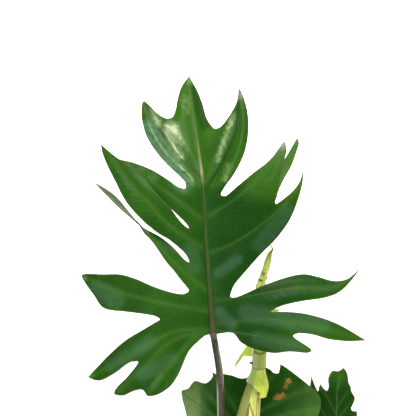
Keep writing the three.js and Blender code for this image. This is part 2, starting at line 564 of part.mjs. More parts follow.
// A stalk passes through its lead, a point in the leaf's frame, and is cut off square just short of the rib.
function stalk(name, stemWithGap, extraCuts) {
  const { path, lead, radius } = STALKS[name];
  const { frame } = LEAVES[name];
  const [lastStretch, end] = [v3(...lead), v3(0, 0.5, 0)].map((p) => p.applyMatrix4(frame));
  const curve = curveThrough([...path, lastStretch.toArray(), end.toArray()]);
  const whole = toSolid(limb(curve, (t) => ramp(radius, t), 8, Math.round(curve.getLength() / 11) + 4));
  const along = v3(0, 0, 0).setFromMatrixColumn(frame, 1);
  const cutEnd = v3(0, RIB_START - GAP, 0).applyMatrix4(frame);
  const cut = whole.trimByPlane(along.clone().negate().toArray(), -along.dot(cutEnd));
  return mainBody(extraCuts.reduce((solid, hole) => solid.subtract(hole), cut.subtract(stemWithGap)));
}

// New growth
const shootAxis = curveThrough([[31.8, 0, 303.4], [32, 0, 325], [31.8, 0, 348], [32.1, 0, 374], [35.9, 0, 388],
  [38.9, 0, 401.6], [42, 0, 411], [44, 0, 415], [43.4, 0, 417.6], [41.2, 0, 419.4]]);
const SHOOT_RADIUS = [[0, 5.5], [0.35, 5.4], [0.56, 5.5], [0.64, 4.6], [0.7, 4.2], [0.76, 3.6], [0.84, 3.5], [0.9, 2.6],
  [0.95, 1.1], [1, 0.5]];

const LOWER_SHEATH = [[-168, 178], [-90, 180], [-60, 184], [-20, 196], [-14, 240], [-12, 250], [-6, 240], [4, 188],
  [70, 182], [168, 178], [168, 258], [90, 272], [0, 274], [-60, 275], [-168, 262]];
const SKIRT = [[-168, 262], [-120, 268], [-70, 272], [-30, 267], [-8, 263], [20, 262], [62, 257.5], [96, 257.5],
  [130, 262], [168, 266], [168, 287.5], [-168, 287.5]];
const COLLAR = [[-168, 288.2], [168, 288.2], [168, 304.5], [60, 305.4], [0, 304.2], [-60, 306], [-168, 308]];

const sheathOverStem = (z) => stemRadius(z) + GAP + SHEATH / 2 + 0.5;
const skirtRadius = (z, angle) => {
  const flare = smooth((288 - z) / 24);
  return stemRadius(288) + 1 + flare * (5.5 + 2 * Math.sin(angle));
};

// A small loose flap of sheath beside the shoot, upright in the plane of the stem and bowed forwards.
function flap(outline, depthAt) {
  const sheet = flatSheet(stepped(outline.map((p) => v2(...p)), 6), 7);
  return thickSheet(sheet, (x, z) => v3(x, depthAt(x, z), z), SHEATH);
}
const LEFT_FLAP = [[24.1, 300.5], [19.5, 300.8], [15, 301.6], [11, 296.6], [6.2, 291], [7.4, 296], [11.5, 302.5],
  [15.4, 308.5], [19.5, 315], [26.1, 318], [26.1, 308.7], [24.1, 308.7]];
const RIGHT_FLAP = [[37.7, 333], [42, 338], [47, 345.5], [53, 350.4], [46, 351.2], [40, 350], [37.7, 348]];

// Colours and finishes
function finish(colour, roughness) {
  return new THREE.MeshStandardMaterial({ color: colour, roughness, metalness: 0 });
}
const leafGreen = finish("#2c6b23", 0.35);
const stalkBrown = finish("#5b5048", 0.6);
const sheathGreen = finish("#b7c65a", 0.5);
const stemGreen = finish("#8f9a4c", 0.6);
const rootBrown = finish("#7a5f45", 0.85);
const mixBrown = finish("#3b2a20", 0.95);
const potClay = finish("#a35a3c", 0.7);

const plant = new THREE.Group();
function put(name, geometry, material) {
  const mesh = new THREE.Mesh(geometry, material);
  mesh.name = name;
  plant.add(mesh);
}

const stemWithGap = toSolid(stem(GAP));
put("pot", pot(), potClay);
put("stem", stem(), stemGreen);
put("lower_sheath", sheath(LOWER_SHEATH, sheathOverStem, 9), sheathGreen);
put("skirt_sheath", sheath(SKIRT, skirtRadius, 7), sheathGreen);
put("collar_sheath", sheath(COLLAR, sheathOverStem, 7), sheathGreen);
put("new_shoot", limb(shootAxis, (t) => ramp(SHOOT_RADIUS, t), 8, 24), sheathGreen);
put("left_flap", flap(LEFT_FLAP, (x) => -2 - 0.1 * (26 - x)), sheathGreen);
put("right_flap", flap(RIGHT_FLAP, (x) => 0.12 * (x - 37)), sheathGreen);

const rootCurves = ROOTS.map(curveThrough);
const rootHoles = rootCurves.map((curve) => {
  const clearEnd = new THREE.SphereGeometry(rootRadius(2 * GAP)(1), 8, 6).translate(...curve.getPoint(1).toArray());
  return toSolid(limb(curve, rootRadius(GAP), 6, 9)).add(toSolid(clearEnd));
});
rootCurves.forEach((curve, i) => {
  const root = toSolid(limb(curve, rootRadius(0), 6, 9)).subtract(stemWithGap);
  put(`air_root_${i + 1}`, toGeometry(mainBody(root)), rootBrown);
});

for (const name of Object.keys(LEAVES)) {
  const { shape, frame, marginStep, innerStep } = LEAVES[name];
  put(`${name}_blade`, blade(shape, frame, marginStep, innerStep), leafGreen);
  put(`${name}_stalk`, toGeometry(stalk(name, stemWithGap, rootHoles)), stalkBrown);
}
put("potting_mix", pottingMix([stemWithGap, ...rootHoles]), mixBrown);

export default plant;
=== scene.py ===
"""Looks of the potted Tahiti philodendron: fine leaves, stalks, sheaths, pot and potting mix on the frame.

Lengths are millimetres, as in the solids, until finished() turns a piece into metres.
"""
import math
import random

import bmesh
import bpy
from mathutils import Matrix, Vector, kdtree
from mathutils.bvhtree import BVHTree


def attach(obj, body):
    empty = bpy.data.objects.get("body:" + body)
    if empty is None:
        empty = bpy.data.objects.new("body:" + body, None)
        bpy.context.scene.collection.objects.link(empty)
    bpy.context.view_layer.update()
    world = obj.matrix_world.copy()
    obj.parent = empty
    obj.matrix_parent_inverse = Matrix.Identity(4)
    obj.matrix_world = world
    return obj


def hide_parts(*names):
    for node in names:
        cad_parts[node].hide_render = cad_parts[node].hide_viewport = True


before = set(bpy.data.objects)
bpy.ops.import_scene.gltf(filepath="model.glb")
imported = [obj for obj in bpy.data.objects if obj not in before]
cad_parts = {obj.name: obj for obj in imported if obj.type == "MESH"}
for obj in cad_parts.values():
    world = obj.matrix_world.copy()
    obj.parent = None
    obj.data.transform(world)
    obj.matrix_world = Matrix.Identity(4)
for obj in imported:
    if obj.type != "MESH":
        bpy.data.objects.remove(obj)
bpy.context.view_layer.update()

MM = 0.001
GAP = 0.3  # between pieces that meet
BLADE = 0.9  # a leaf's thickness
SHEATH = 0.9  # a sheath's thickness
RIB_START = -3.2  # where a midrib starts, below its blade
SIGHT = 1200.0  # from the camera to the large leaf
LEAN_BACK = math.radians(12)  # of the upright leaves, which are square to the view
MARGIN_STEP = 2.2  # between the points of a leaf's margin
INNER_STEP = 2.4  # between the cuts across a blade
VEIN_STEP = 0.5  # between the places that a vein is searched at
SLANT = 0.8  # how far a side vein climbs for each mm from its vein


# Small sums

def smooth(t):
    """0 up to t = 0, 1 from t = 1 and an even curve between."""
    t = min(max(t, 0.0), 1.0)
    return t * t * (3 - 2 * t)


def ramp(stops, at):
    """Piecewise linear value at a place among rising (place, value) stops."""
    if at <= stops[0][0]:
        return stops[0][1]
    for (a, low), (b, high) in zip(stops, stops[1:]):
        if at <= b:
            return low + (high - low) * (at - a) / (b - a)
    return stops[-1][1]


def spline_span(points, i, t):
    """A point of the smooth curve through the points, at share t of its span i."""
    last = len(points) - 1
    p0, p1 = points[max(i - 1, 0)], points[i]
    p2, p3 = points[min(i + 1, last)], points[min(i + 2, last)]
    slope_in, slope_out = (p2 - p0) * 0.5, (p3 - p1) * 0.5
    cubic = (2 * p1 - 2 * p2 + slope_in + slope_out) * t ** 3
    return cubic + (3 * p2 - 3 * p1 - 2 * slope_in - slope_out) * t ** 2 + slope_in * t + p1


def spline(points, step):
    """Points along the smooth curve, about a step apart, without the last one."""
    made = []
    for i in range(len(points) - 1):
        pieces = max(1, round((points[i + 1] - points[i]).length / step))
        made += [spline_span(points, i, k / pieces) for k in range(pieces)]
    return made


def off_segment(a, b, p):
    """How far p is from the nearest place between a and b."""
    way = b - a
    t = min(max((p - a).dot(way) / max(way.length_squared, 1e-9), 0.0), 1.0)
    return (a + way * t - p).length


# Leaves

# Each lobe's margin rises from the last notch to its tip and falls to the next notch. Back and slide
# shift a lobe in mm, twist and sway turn it in degrees, and turn gives the twist along it as (mm, degrees).
# A leaf's sight is the place where the middle of the view meets its plane.

LARGE_LEAF = {
    "start": (-3, -1.5), "sight": (-5.5, 125),
    "midrib": [(0, -6), (-3, 33), (-5, 63), (-7.5, 93), (-9, 123), (-10.5, 146), (-13, 168), (-16.5, 193),
               (-20.5, 218), (-24, 250)],
    "rib": [(0, 3.5), (0.3, 2.9), (0.6, 1.9), (1, 0.7)],
    "fold": 0.2, "droop": 0.0017, "bend_from": 146, "bend_slope": 0.36,
    "stout": {"start": (-5, 42), "middle": 0.61, "reach": 0.08, "extra": 0.75},
    "lobes": [
        dict(rise=[(-8, -2.5), (-16, -9), (-24.5, -18), (-30, -30), (-36.5, -44), (-44, -54),
                   (-55.5, -61.5)], tip=(-66, -63), blunt=True, fall=[(-68.5, -58)], notch=(-72, -56),
             back=-6, vein=[(-2, 2), (-24, -9), (-45, -35), (-64, -59)]),
        dict(rise=[(-80, -58), (-90, -62.5)], tip=(-99, -61), blunt=True,
             fall=[(-97, -54.5), (-86.5, -44), (-79, -35)], notch=(-74, -28), twist=12, back=5,
             vein=[(-3, 3), (-40, -7), (-74, -38), (-95, -58)]),
        dict(rise=[(-81, -28.5), (-88, -32), (-97, -39), (-110, -46.5), (-118, -47.5)], tip=(-125.5, -44),
             fall=[(-117, -35), (-103.5, -21), (-88, -7.5), (-70, 3.5)], notch=(-52.5, 14), twist=-10,
             back=14, vein=[(-3, 4), (-38, 2), (-65, -11), (-95, -29), (-122, -43)]),
        dict(rise=[(-60, 17.3), (-73.5, 19.5), (-90, 21.5), (-106, 23.3), (-113, 27.5), (-118.5, 36),
                   (-125, 45)], tip=(-131.5, 56), blunt=True,
             fall=[(-129, 59.3), (-110, 59), (-94, 59), (-78, 54.5), (-58.5, 46), (-42, 40.7), (-30, 39)],
             notch=(-23.5, 42), twist=14, back=16,
             vein=[(-3, 22), (-33, 27), (-64, 33), (-95, 41), (-128, 55)]),
        dict(rise=[(-33.5, 54), (-40.5, 63), (-48, 71.5), (-62.7, 91.5), (-71, 97.3), (-80.5, 104.6),
                   (-91.3, 111.7), (-102, 118.2), (-111.5, 126.5), (-115.8, 137)], tip=(-118.5, 150),
             fall=[(-109.8, 144.2), (-93.5, 131.7), (-78.2, 117), (-67.8, 106.7), (-55.4, 99.1), (-43, 89),
                   (-29, 73.5)], notch=(-23.5, 70), foot=(-23.5, 60),
             turn=[(8, 0), (25, -14), (50, -41), (60, -63), (66, -81), (72, -96), (100, -110), (131, -112)],
             back=4, vein=[(-5, 42), (-23.5, 56), (-46, 77), (-66, 98), (-90, 119), (-117, 148)]),
        dict(rise=[(-29, 80), (-43.5, 92.5), (-58, 101.5), (-73.5, 115), (-88, 132), (-98.5, 152),
                   (-107, 169), (-111.5, 181)], tip=(-112.5, 189),
             fall=[(-103, 180.5), (-92.5, 172.5), (-80.5, 164), (-68.5, 153), (-56.5, 139), (-42.5, 124),
                   (-33, 111.5)], notch=(-24, 103.5), back=-5,
             vein=[(-7.5, 84), (-43.5, 107), (-63.5, 129), (-80, 146), (-110, 186)]),
        dict(rise=[(-28, 110.8), (-42.2, 125), (-56.4, 140.6), (-68.6, 154.6), (-80, 168.5)],
             tip=(-87.5, 180.5),
             fall=[(-82.5, 178.5), (-74, 174.8), (-58.4, 164.9), (-42.4, 152.2), (-34.8, 146.4)],
             notch=(-28, 143.3), sway=6, slide=-0.8, twist=-16, back=13,
             vein=[(-9, 112), (-33, 131), (-58, 152), (-86, 179)]),
        dict(rise=[(-29, 151.5), (-43.5, 165.5), (-56, 179), (-66.5, 195), (-71.5, 212), (-72, 226)],
             tip=(-69.5, 232), blunt=True, fall=[(-64, 227.5), (-55.5, 219), (-46.5, 214.2)],
             notch=(-40.5, 215.5), twist=10, back=-8, grooved=True,
             vein=[(-12, 155), (-38, 183), (-55, 205), (-68, 229)]),
        dict(rise=[(-38, 223), (-35, 238), (-31, 248)], tip=(-24.5, 257),
             fall=[(-16.5, 243), (-11, 229), (-6.5, 214)], notch=(1, 203.5), back=4),
        dict(rise=[(5.5, 204.7), (13, 213), (21.5, 227), (24.3, 237)], tip=(24.8, 246.5),
             fall=[(30, 236.5), (34.5, 220), (35.3, 200), (31.5, 180), (22, 161), (12, 147)],
             notch=(6.5, 138), twist=-14, back=-6, grooved=True,
             vein=[(-10.3, 140), (8, 170), (22, 203), (25.5, 243)]),
        dict(rise=[(12, 137), (24, 147), (40.5, 160.7), (51.5, 169), (60, 177.5)], tip=(70.9, 193),
             fall=[(73.2, 183), (70.4, 172), (68.2, 163), (66.5, 154), (65, 144), (63.4, 136)],
             notch=(61, 130), back=-7, vein=[(-8.5, 115), (20, 133), (45, 155), (69.5, 190)]),
        dict(rise=[(63.4, 132.2), (65.9, 139), (67.9, 150), (72, 162), (77.5, 172), (85.2, 182.3)],
             tip=(93.3, 193.4),
             fall=[(94.6, 187.8), (92.2, 181.4), (87.7, 171.9), (83.6, 164.5), (78.4, 157), (73.5, 149),
                   (69.4, 140), (66, 133.2)], notch=(62.8, 129), sway=4, slide=-5, back=8,
             vein=[(63, 131), (68, 141), (76, 158), (92, 191)]),
        dict(rise=[(70.5, 134.5), (79.5, 142.3), (86.2, 151.5)], tip=(89.5, 162.5),
             fall=[(88.9, 150), (84.4, 133), (76.4, 113.5), (63.6, 95.5), (45.5, 77), (29, 58), (20.3, 47)],
             notch=(16.3, 35.5), back=5, vein=[(-6, 80), (20, 90), (50, 110), (75, 134), (89, 160)]),
        dict(rise=[(25, 36.7), (48.5, 47), (72, 55.5), (90, 59), (105, 56), (121, 51.8), (135, 54.5)],
             tip=(147.5, 65.5), fall=[(137, 51), (126, 40.8), (112, 35.3), (88, 31.7), (68, 27)],
             notch=(56, 21), twist=16, back=12, vein=[(-3, 33), (30, 36), (80, 45), (120, 46), (145, 63)]),
        dict(rise=[(70, 21.3), (90, 19.5), (111.5, 14), (130, 6)], tip=(152.5, -7.5),
             fall=[(134, -8.2), (115, -6), (100, -1.7), (85, -0.2)], notch=(78, -2.5), back=20,
             vein=[(-1, 9), (40, 14), (80, 11), (120, 2), (150, -7)]),
        dict(rise=[(84, -7), (92, -12)], tip=(98, -16.8), blunt=True,
             fall=[(94, -19.8), (76, -18.5), (60, -20), (42, -16.2), (28, -9.5), (19, 0)], notch=(3.5, -1),
             back=6, vein=[(1, 3), (40, -2), (75, -10), (96, -16)]),
    ],
}

BROAD_LEAF = {
    "start": (-2, -1), "sight": (-38, 250),
    "midrib": [(0, -6), (3, 20), (7, 45), (12, 66), (16, 82)],
    "rib": [(0, 2.2), (1, 0.6)],
    "fold": 0.16, "droop": 0.0012, "bend_from": 90, "bend_slope": 0,
    "lobes": [
        dict(rise=[(-12, -8.5), (-28, -16)], tip=(-44, -17), fall=[(-45, -9)], notch=(-46, -3), back=5,
             vein=[(0, 1), (-20, -6), (-43, -15)]),
        dict(rise=[(-52, -3)], tip=(-60, 2), fall=[(-59, 12), (-62, 28), (-66, 42.5)], notch=(-66.3, 47),
             back=7, vein=[(0, 2), (-30, 4), (-59, 4)]),
        dict(rise=[(-67, 49)], tip=(-68, 51.5), fall=[(-63, 52.5)], notch=(-59.5, 53), back=4,
             vein=[(1, 4), (-30, 22), (-67, 50)]),
        dict(rise=[(-57, 57)], tip=(-52.5, 62), blunt=True, fall=[(-47.5, 61)], notch=(-41, 58.5), back=3,
             vein=[(1, 7), (-24, 32), (-52, 61)]),
        dict(rise=[(-36, 62.5), (-33, 67)], tip=(-34, 72.5),
             fall=[(-30.5, 70), (-20.5, 69.5), (-12, 68), (-3.5, 65)], notch=(4.5, 65),
             vein=[(2, 13), (-15, 42), (-33, 70)]),
        dict(rise=[(10, 74)], tip=(17.5, 87), fall=[(23, 78), (29.5, 74.5), (34, 70)], notch=(39, 69.5),
             back=3),
        dict(rise=[(40, 75)], tip=(40.5, 80.5),
             fall=[(49, 75), (59.5, 67), (71.5, 57.5), (79, 51), (83.5, 44), (84.5, 38), (82.5, 27)],
             notch=(79, 19), back=2, vein=[(4, 25), (20, 50), (40, 78)]),
        dict(rise=[(83, 13)], tip=(84, 5), fall=[(74, -2)], notch=(62, -3), back=3,
             vein=[(1, 4), (40, 4), (82, 6)]),
        dict(rise=[(58, -9)], tip=(46, -15), fall=[(30, -12), (16, -6)], notch=(2, -1), back=3,
             vein=[(0, 1), (20, -5), (45, -13)]),
    ],
    "veins": [[(3, 18), (35, 38), (72, 54)], [(2, 10), (40, 24), (81, 32)]],
}

RIGHT_LEAF = {
    "start": (-1.5, -0.5), "sight": (-140, 263),
    "midrib": [(0, -6), (0, 20), (0.5, 45), (1.5, 66), (3, 78)],
    "rib": [(0, 1.8), (1, 0.5)],
    "fold": 0.22, "droop": 0.006, "bend_from": 60, "bend_slope": 0.2,
    "lobes": [
        dict(rise=[(-12, -2)], tip=(-25, 4.5), fall=[(-26, 14)], notch=(-21.5, 21.5), back=5,
             vein=[(0, 3), (-24, 7)]),
        dict(rise=[(-28, 30), (-30, 46.5), (-28.7, 64.5)], tip=(-27, 78.5), fall=[(-23.5, 69)],
             notch=(-19.5, 60.5), back=6, vein=[(0, 20), (-16, 42), (-26.5, 76)]),
        dict(rise=[(-19, 66)], tip=(-17, 70.5), fall=[(-14, 66)], notch=(-9.5, 61.5), back=2,
             vein=[(0, 38), (-16.5, 68)]),
        dict(rise=[(-8, 68), (-8.5, 75.5), (-6.5, 81.5)], tip=(-3, 86), fall=[(-0.5, 84)], notch=(2, 83.5),
             back=-3),
        dict(rise=[(5, 85.5)], tip=(8.5, 88.3), fall=[(12, 82.5), (13.5, 73.5)], notch=(14, 70), back=-3,
             vein=[(1, 60), (8, 86)]),
        dict(rise=[(15, 69.5)], tip=(16.5, 68), fall=[(16.5, 65)], notch=(16, 62), back=2,
             vein=[(0.7, 44), (16, 67)]),
        dict(rise=[(18.5, 59)], tip=(20.5, 55), blunt=True, fall=[(19, 49.5)], notch=(15.5, 42.5), back=3,
             vein=[(0.4, 30), (19.5, 54)]),
        dict(rise=[(17, 40)], tip=(22.5, 40), fall=[(23, 36.5), (20.5, 29)], notch=(16, 21.5), back=4,
             vein=[(0.1, 18), (21.5, 38)]),
        dict(rise=[(21, 18)], tip=(25, 13), fall=[(17, 2)], notch=(1.5, -0.5), back=4,
             vein=[(0, 5), (24, 12)]),
    ],
}

# A younger, even leaf: its crown, and the margin of its right half from crown to foot, mirrored for the left
YOUNG_CROWN = {"tip": (0, 116), "sides": [(6, 98), (15, 92)]}
YOUNG_HALF = [
    {"notch": (13, 80), "fall": [(15, 92)], "tip": (42, 86), "rise": [(31, 71)], "from": (0, 52)},
    {"notch": (18, 56), "fall": [(30, 64)], "tip": (57, 52), "rise": [(41, 41)], "from": (0, 30)},
    {"notch": (21, 31), "fall": [(38, 36)], "tip": (59, 14), "rise": [(42, 8)], "from": (0, 10)},
    {"notch": (21, 8), "fall": [(37, 2)], "tip": (38, -18), "rise": [(15, -11)], "from": (0, 2)},
]
YOUNG_END = (2, -1)
YOUNG_BACK = 8


def young_leaf(length):
    """A young leaf of this length, in the form of the tables above."""
    k = length / YOUNG_CROWN["tip"][1]

    def at(side, *points):
        return [(x * side * k, y * k) for x, y in points]

    def side_lobe(side, row, rise, fall, notch):
        vein = at(side, row["from"], row["tip"])
        return dict(rise=at(side, *row[rise]), tip=vein[1], fall=at(side, *row[fall]), notch=notch,
                    back=YOUNG_BACK, vein=vein)

    sides = YOUNG_CROWN["sides"]
    lobes = [side_lobe(-1, row, "rise", "fall", at(-1, row["notch"])[0]) for row in YOUNG_HALF[::-1]]
    notches = [at(1, row["notch"])[0] for row in YOUNG_HALF] + [YOUNG_END]
    lobes.append(dict(rise=at(-1, *sides[::-1]), tip=at(1, YOUNG_CROWN["tip"])[0], fall=at(1, *sides),
                      notch=notches[0], back=YOUNG_BACK))
    lobes += [side_lobe(1, row, "fall", "rise", notch) for row, notch in zip(YOUNG_HALF, notches[1:])]
    return {"start": (-2, -1), "sight": None, "midrib": [(0, -6), (0, length * 0.5), (0, length * 0.94)],
            "rib": [(0, 2), (1, 0.5)], "lobes": lobes, "fold": 0.24, "droop": 0.005,
            "bend_from": length * 0.4, "bend_slope": 0.3}


def traced_lobes(leaf, step):
    """The lobes with their margin points, foot line and axis."""
    lobes = []
    notch = leaf["start"]
    for lobe in leaf["lobes"]:
        if lobe.get("blunt"):
            stretches = [[notch, *lobe["rise"], lobe["tip"], *lobe["fall"], lobe["notch"]]]
        else:
            stretches = [[notch, *lobe["rise"], lobe["tip"]], [lobe["tip"], *lobe["fall"], lobe["notch"]]]
        margin = [p for stretch in stretches for p in spline([Vector(q) for q in stretch], step)]
        start, end, tip = Vector(notch), Vector(lobe["notch"]), Vector(lobe["tip"])
        foot = Vector(lobe["foot"]) if "foot" in lobe else (start + end) / 2
        outward = Vector((start.y - end.y, end.x - start.x)).normalized()
        if outward.dot(tip - foot) < 0:
            outward.negate()
        ring = margin + [end]
        low = Vector((min(p.x for p in ring), min(p.y for p in ring)))
        high = Vector((max(p.x for p in ring), max(p.y for p in ring)))
        lobes.append({**lobe, "margin": margin, "ring": ring, "foot": foot, "outward": outward, "low": low,
                      "high": high, "reach": max(outward.dot(p - foot) for p in margin),
                      "axis": (tip - foot).normalized()})
        notch = lobe["notch"]
    return lobes


def within(lobe, p):
    """Whether p lies in the lobe or on its margin."""
    slack = 0.05
    if not (lobe["low"].x - slack < p.x < lobe["high"].x + slack):
        return False
    if not (lobe["low"].y - slack < p.y < lobe["high"].y + slack):
        return False
    inside = False
    ring = lobe["ring"]
    for i, a in enumerate(ring):
        b = ring[(i + 1) % len(ring)]
        if off_segment(a, b, p) < slack:
            return True
        if (a.y > p.y) != (b.y > p.y) and p.x < a.x + (b.x - a.x) * (p.y - a.y) / (b.y - a.y):
            inside = not inside
    return inside


def turned(vector, degrees):
    """A flat vector turned anticlockwise."""
    c, s = math.cos(math.radians(degrees)), math.sin(math.radians(degrees))
    return Vector((vector.x * c - vector.y * s, vector.x * s + vector.y * c))


def rib_offset(leaf, at):
    """How far to the side the midrib lies."""
    return ramp([(y, x) for x, y in leaf["midrib"]], at)


def leaf_surface(leaf, lobes):
    """The function that lays a flat point (across, along) on the leaf, in the leaf's own frame."""
    rounding = 6  # of the fold along the midrib
    bend_length = 8
    slide_length = 4

    def place(u, v):
        p = Vector((u, v))
        height = 0.0
        lobe = next((one for one in lobes if within(one, p)), None)
        past = (p - lobe["foot"]).dot(lobe["outward"]) if lobe else 0.0
        if past > 0:
            share = smooth(past / lobe["reach"])
            start = p - lobe["foot"]
            axis = lobe["axis"]
            along = start.dot(axis)
            across = start.x * axis.y - start.y * axis.x
            degrees = ramp(lobe["turn"], along) if "turn" in lobe else lobe.get("twist", 0) * share
            twist = math.radians(degrees)
            height += across * math.sin(twist) - lobe.get("back", 0) * share
            flat = Vector((axis.y, -axis.x)) * across * math.cos(twist) + axis * along
            p = turned(flat, lobe.get("sway", 0) * share) + lobe["foot"]
            p.x += lobe.get("slide", 0) * smooth(past / slide_length)
        off = abs(p.x - rib_offset(leaf, p.y))
        height += leaf["fold"] * (math.hypot(off, rounding) - rounding) - leaf["droop"] * off * off
        beyond = (p.y - leaf["bend_from"]) / bend_length
        height -= leaf["bend_slope"] * bend_length * math.log1p(math.exp(min(beyond, 30)))
        if leaf["sight"]:
            ahead = Vector(leaf["sight"])
            p = (p - ahead) * (1 - height / SIGHT) + ahead
        return Vector((p.x, p.y, height))
    return place


# Mesh helpers

def linked(name, data):
    """A new object in the scene."""
    thing = bpy.data.objects.new(name, data)
    bpy.context.scene.collection.objects.link(thing)
    return thing


def meshed(name, bm, materials, smooth_faces=True):
    """An object made of a mesh under work."""
    for face in bm.faces:
        face.smooth = smooth_faces
    mesh = bpy.data.meshes.new(name)
    bm.to_mesh(mesh)
    bm.free()
    for material in materials:
        mesh.materials.append(material)
    return linked(name, mesh)


def finished(name, bm, node, materials, smooth_faces=True):
    """Turns a mesh in mm into a piece in metres that stands for a node."""
    bmesh.ops.scale(bm, vec=(MM, MM, MM), verts=bm.verts[:])
    piece = meshed("fine_" + name if name == node else name, bm, materials, smooth_faces)
    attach(piece, "root")
    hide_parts(node)


def layers(bm, *keys):
    """New number layers on the vertices, one for each key."""
    return [bm.verts.layers.float.new(key) for key in keys]


def verts_in(made):
    """The vertices among what an operator made."""
    return [part for part in made if isinstance(part, bmesh.types.BMVert)]


def ring_edges(bm, ring):
    """The edges of a closed ring of vertices."""
    return [bm.edges.get(pair) for pair in zip(ring, ring[1:] + ring[:1])]


def finder(points):
    """The search for the nearest of some flat points: its place, its number and how far off it is."""
    tree = kdtree.KDTree(len(points))
    for i, p in enumerate(points):
        tree.insert((p.x, p.y, 0), i)
    tree.balance()
    return tree.find


def filled_sheet(outline, step):
    """A flat sheet inside an outline, cut into small squares that are trimmed along its margin."""
    bm = bmesh.new()
    corners = [bm.verts.new((p.x, p.y, 0)) for p in outline]
    edges = [bm.edges.new(pair) for pair in zip(corners, corners[1:] + corners[:1])]
    bmesh.ops.contextual_create(bm, geom=edges)
    shift = 0.37  # of the first cut, so that the cuts miss the outline's round numbers
    for axis in (0, 1):
        low, high = min(p[axis] for p in outline), max(p[axis] for p in outline)
        way = Vector((1 - axis, axis, 0))
        for k in range(1, int((high - low) / step) + 1):
            everything = bm.verts[:] + bm.edges[:] + bm.faces[:]
            bmesh.ops.bisect_plane(bm, geom=everything, dist=0.02, plane_co=way * (low + (k - shift) * step),
                                   plane_no=way)
    bmesh.ops.remove_doubles(bm, verts=bm.verts[:], dist=0.2)
    bmesh.ops.triangulate(bm, faces=[f for f in bm.faces if len(f.verts) > 4])
    bm.normal_update()
    if sum(f.normal.z for f in bm.faces) < 0:
        bmesh.ops.reverse_faces(bm, faces=bm.faces[:])
    return bm


def thickened(bm, thickness):
    """Gives a placed sheet its thickness; the second skin gets the next material."""
    out = bm.verts.layers.float_vector.new("out")
    bm.normal_update()
    for v in bm.verts:
        v[out] = v.normal
    made = bmesh.ops.extrude_face_region(bm, geom=bm.faces[:], use_keep_orig=True)["geom"]
    under = set(verts_in(made))
    for part in made:
        if isinstance(part, bmesh.types.BMFace):
            part.material_index = 1
    for v in bm.verts:
        v.co += v[out] * (-thickness / 2 if v in under else thickness / 2)
    bmesh.ops.recalc_face_normals(bm, faces=bm.faces[:])
    mark_sharp(bm, 50)
    bm.verts.layers.float_vector.remove(bm.verts.layers.float_vector["out"])


def mark_sharp(bm, degrees):
    """Edges that bend by more than this are shaded sharp."""
    bm.normal_update()
    for edge in bm.edges:
        if len(edge.link_faces) == 2 and edge.calc_face_angle(0) > math.radians(degrees):
            edge.smooth = False


def tube(path, radius_at, sides, shape=None, bm=None):
    """A closed limb: a circle pushed along a path; shape(angle, share) may scale its radius."""
    bm = bm or bmesh.new()
    share_at = bm.verts.layers.float.get("share") or bm.verts.layers.float.new("share")
    lengths = [0.0]
    for a, b in zip(path, path[1:]):
        lengths.append(lengths[-1] + (b - a).length)
    aslant = Vector((0.31, 0.17, 0.94))  # no path starts along this
    side = (path[1] - path[0]).cross(aslant).normalized()
    ring = bmesh.ops.create_circle(bm, cap_ends=True, radius=1, segments=sides)["verts"]
    for i, centre in enumerate(path):
        if i:
            made = bmesh.ops.extrude_edge_only(bm, edges=ring_edges(bm, ring))["geom"]
            above = {e.other_vert(v): v for v in verts_in(made) for e in v.link_edges}
            ring = [above[v] for v in ring]
        tangent = (path[min(i + 1, len(path) - 1)] - path[max(i - 1, 0)]).normalized()
        side = (side - tangent * side.dot(tangent)).normalized()
        up = side.cross(tangent)
        share = lengths[i] / lengths[-1]
        for k, v in enumerate(ring):
            angle = 2 * math.pi * k / sides
            size = radius_at(share) * (shape(angle, share) if shape else 1)
            v.co = centre + (side * math.cos(angle) + up * math.sin(angle)) * size
            v[share_at] = share
    bmesh.ops.contextual_create(bm, geom=ring_edges(bm, ring))
    bmesh.ops.recalc_face_normals(bm, faces=bm.faces[:])
    mark_sharp(bm, 60)
    return bm


def fine_path(points, step):
    """The smooth curve through some points, with its end."""
    controls = [Vector(p) for p in points]
    return spline(controls, step) + [controls[-1]]


# Shader maths

class Value:
    """A socket that takes part in sums."""
    def __init__(self, sheet, socket):
        self.sheet, self.socket = sheet, socket

    def sum_with(self, operation, other=None, swapped=False):
        """This value alone or with another one, in this order or swapped, in one sum."""
        pair = (self,) if other is None else (other, self) if swapped else (self, other)
        return self.sheet.add("Math", {"operation": operation}, dict(enumerate(pair)))

    def __add__(self, other):
        return self.sum_with("ADD", other)

    def __sub__(self, other):
        return self.sum_with("SUBTRACT", other)

    def __rsub__(self, other):
        return self.sum_with("SUBTRACT", other, swapped=True)

    def __mul__(self, other):
        return self.sum_with("MULTIPLY", other)

    __radd__ = __add__
    __rmul__ = __mul__

    def sine(self):
        return self.sum_with("SINE")

    def at_least(self, floor):
        return self.sum_with("MAXIMUM", floor)

    def step(self, low, high):
        """0 below low, 1 above high and smooth between; high may be below low."""
        values = {0: self, 1: low, 2: high}
        return self.sheet.add("MapRange", {"interpolation_type": "SMOOTHSTEP"}, values)


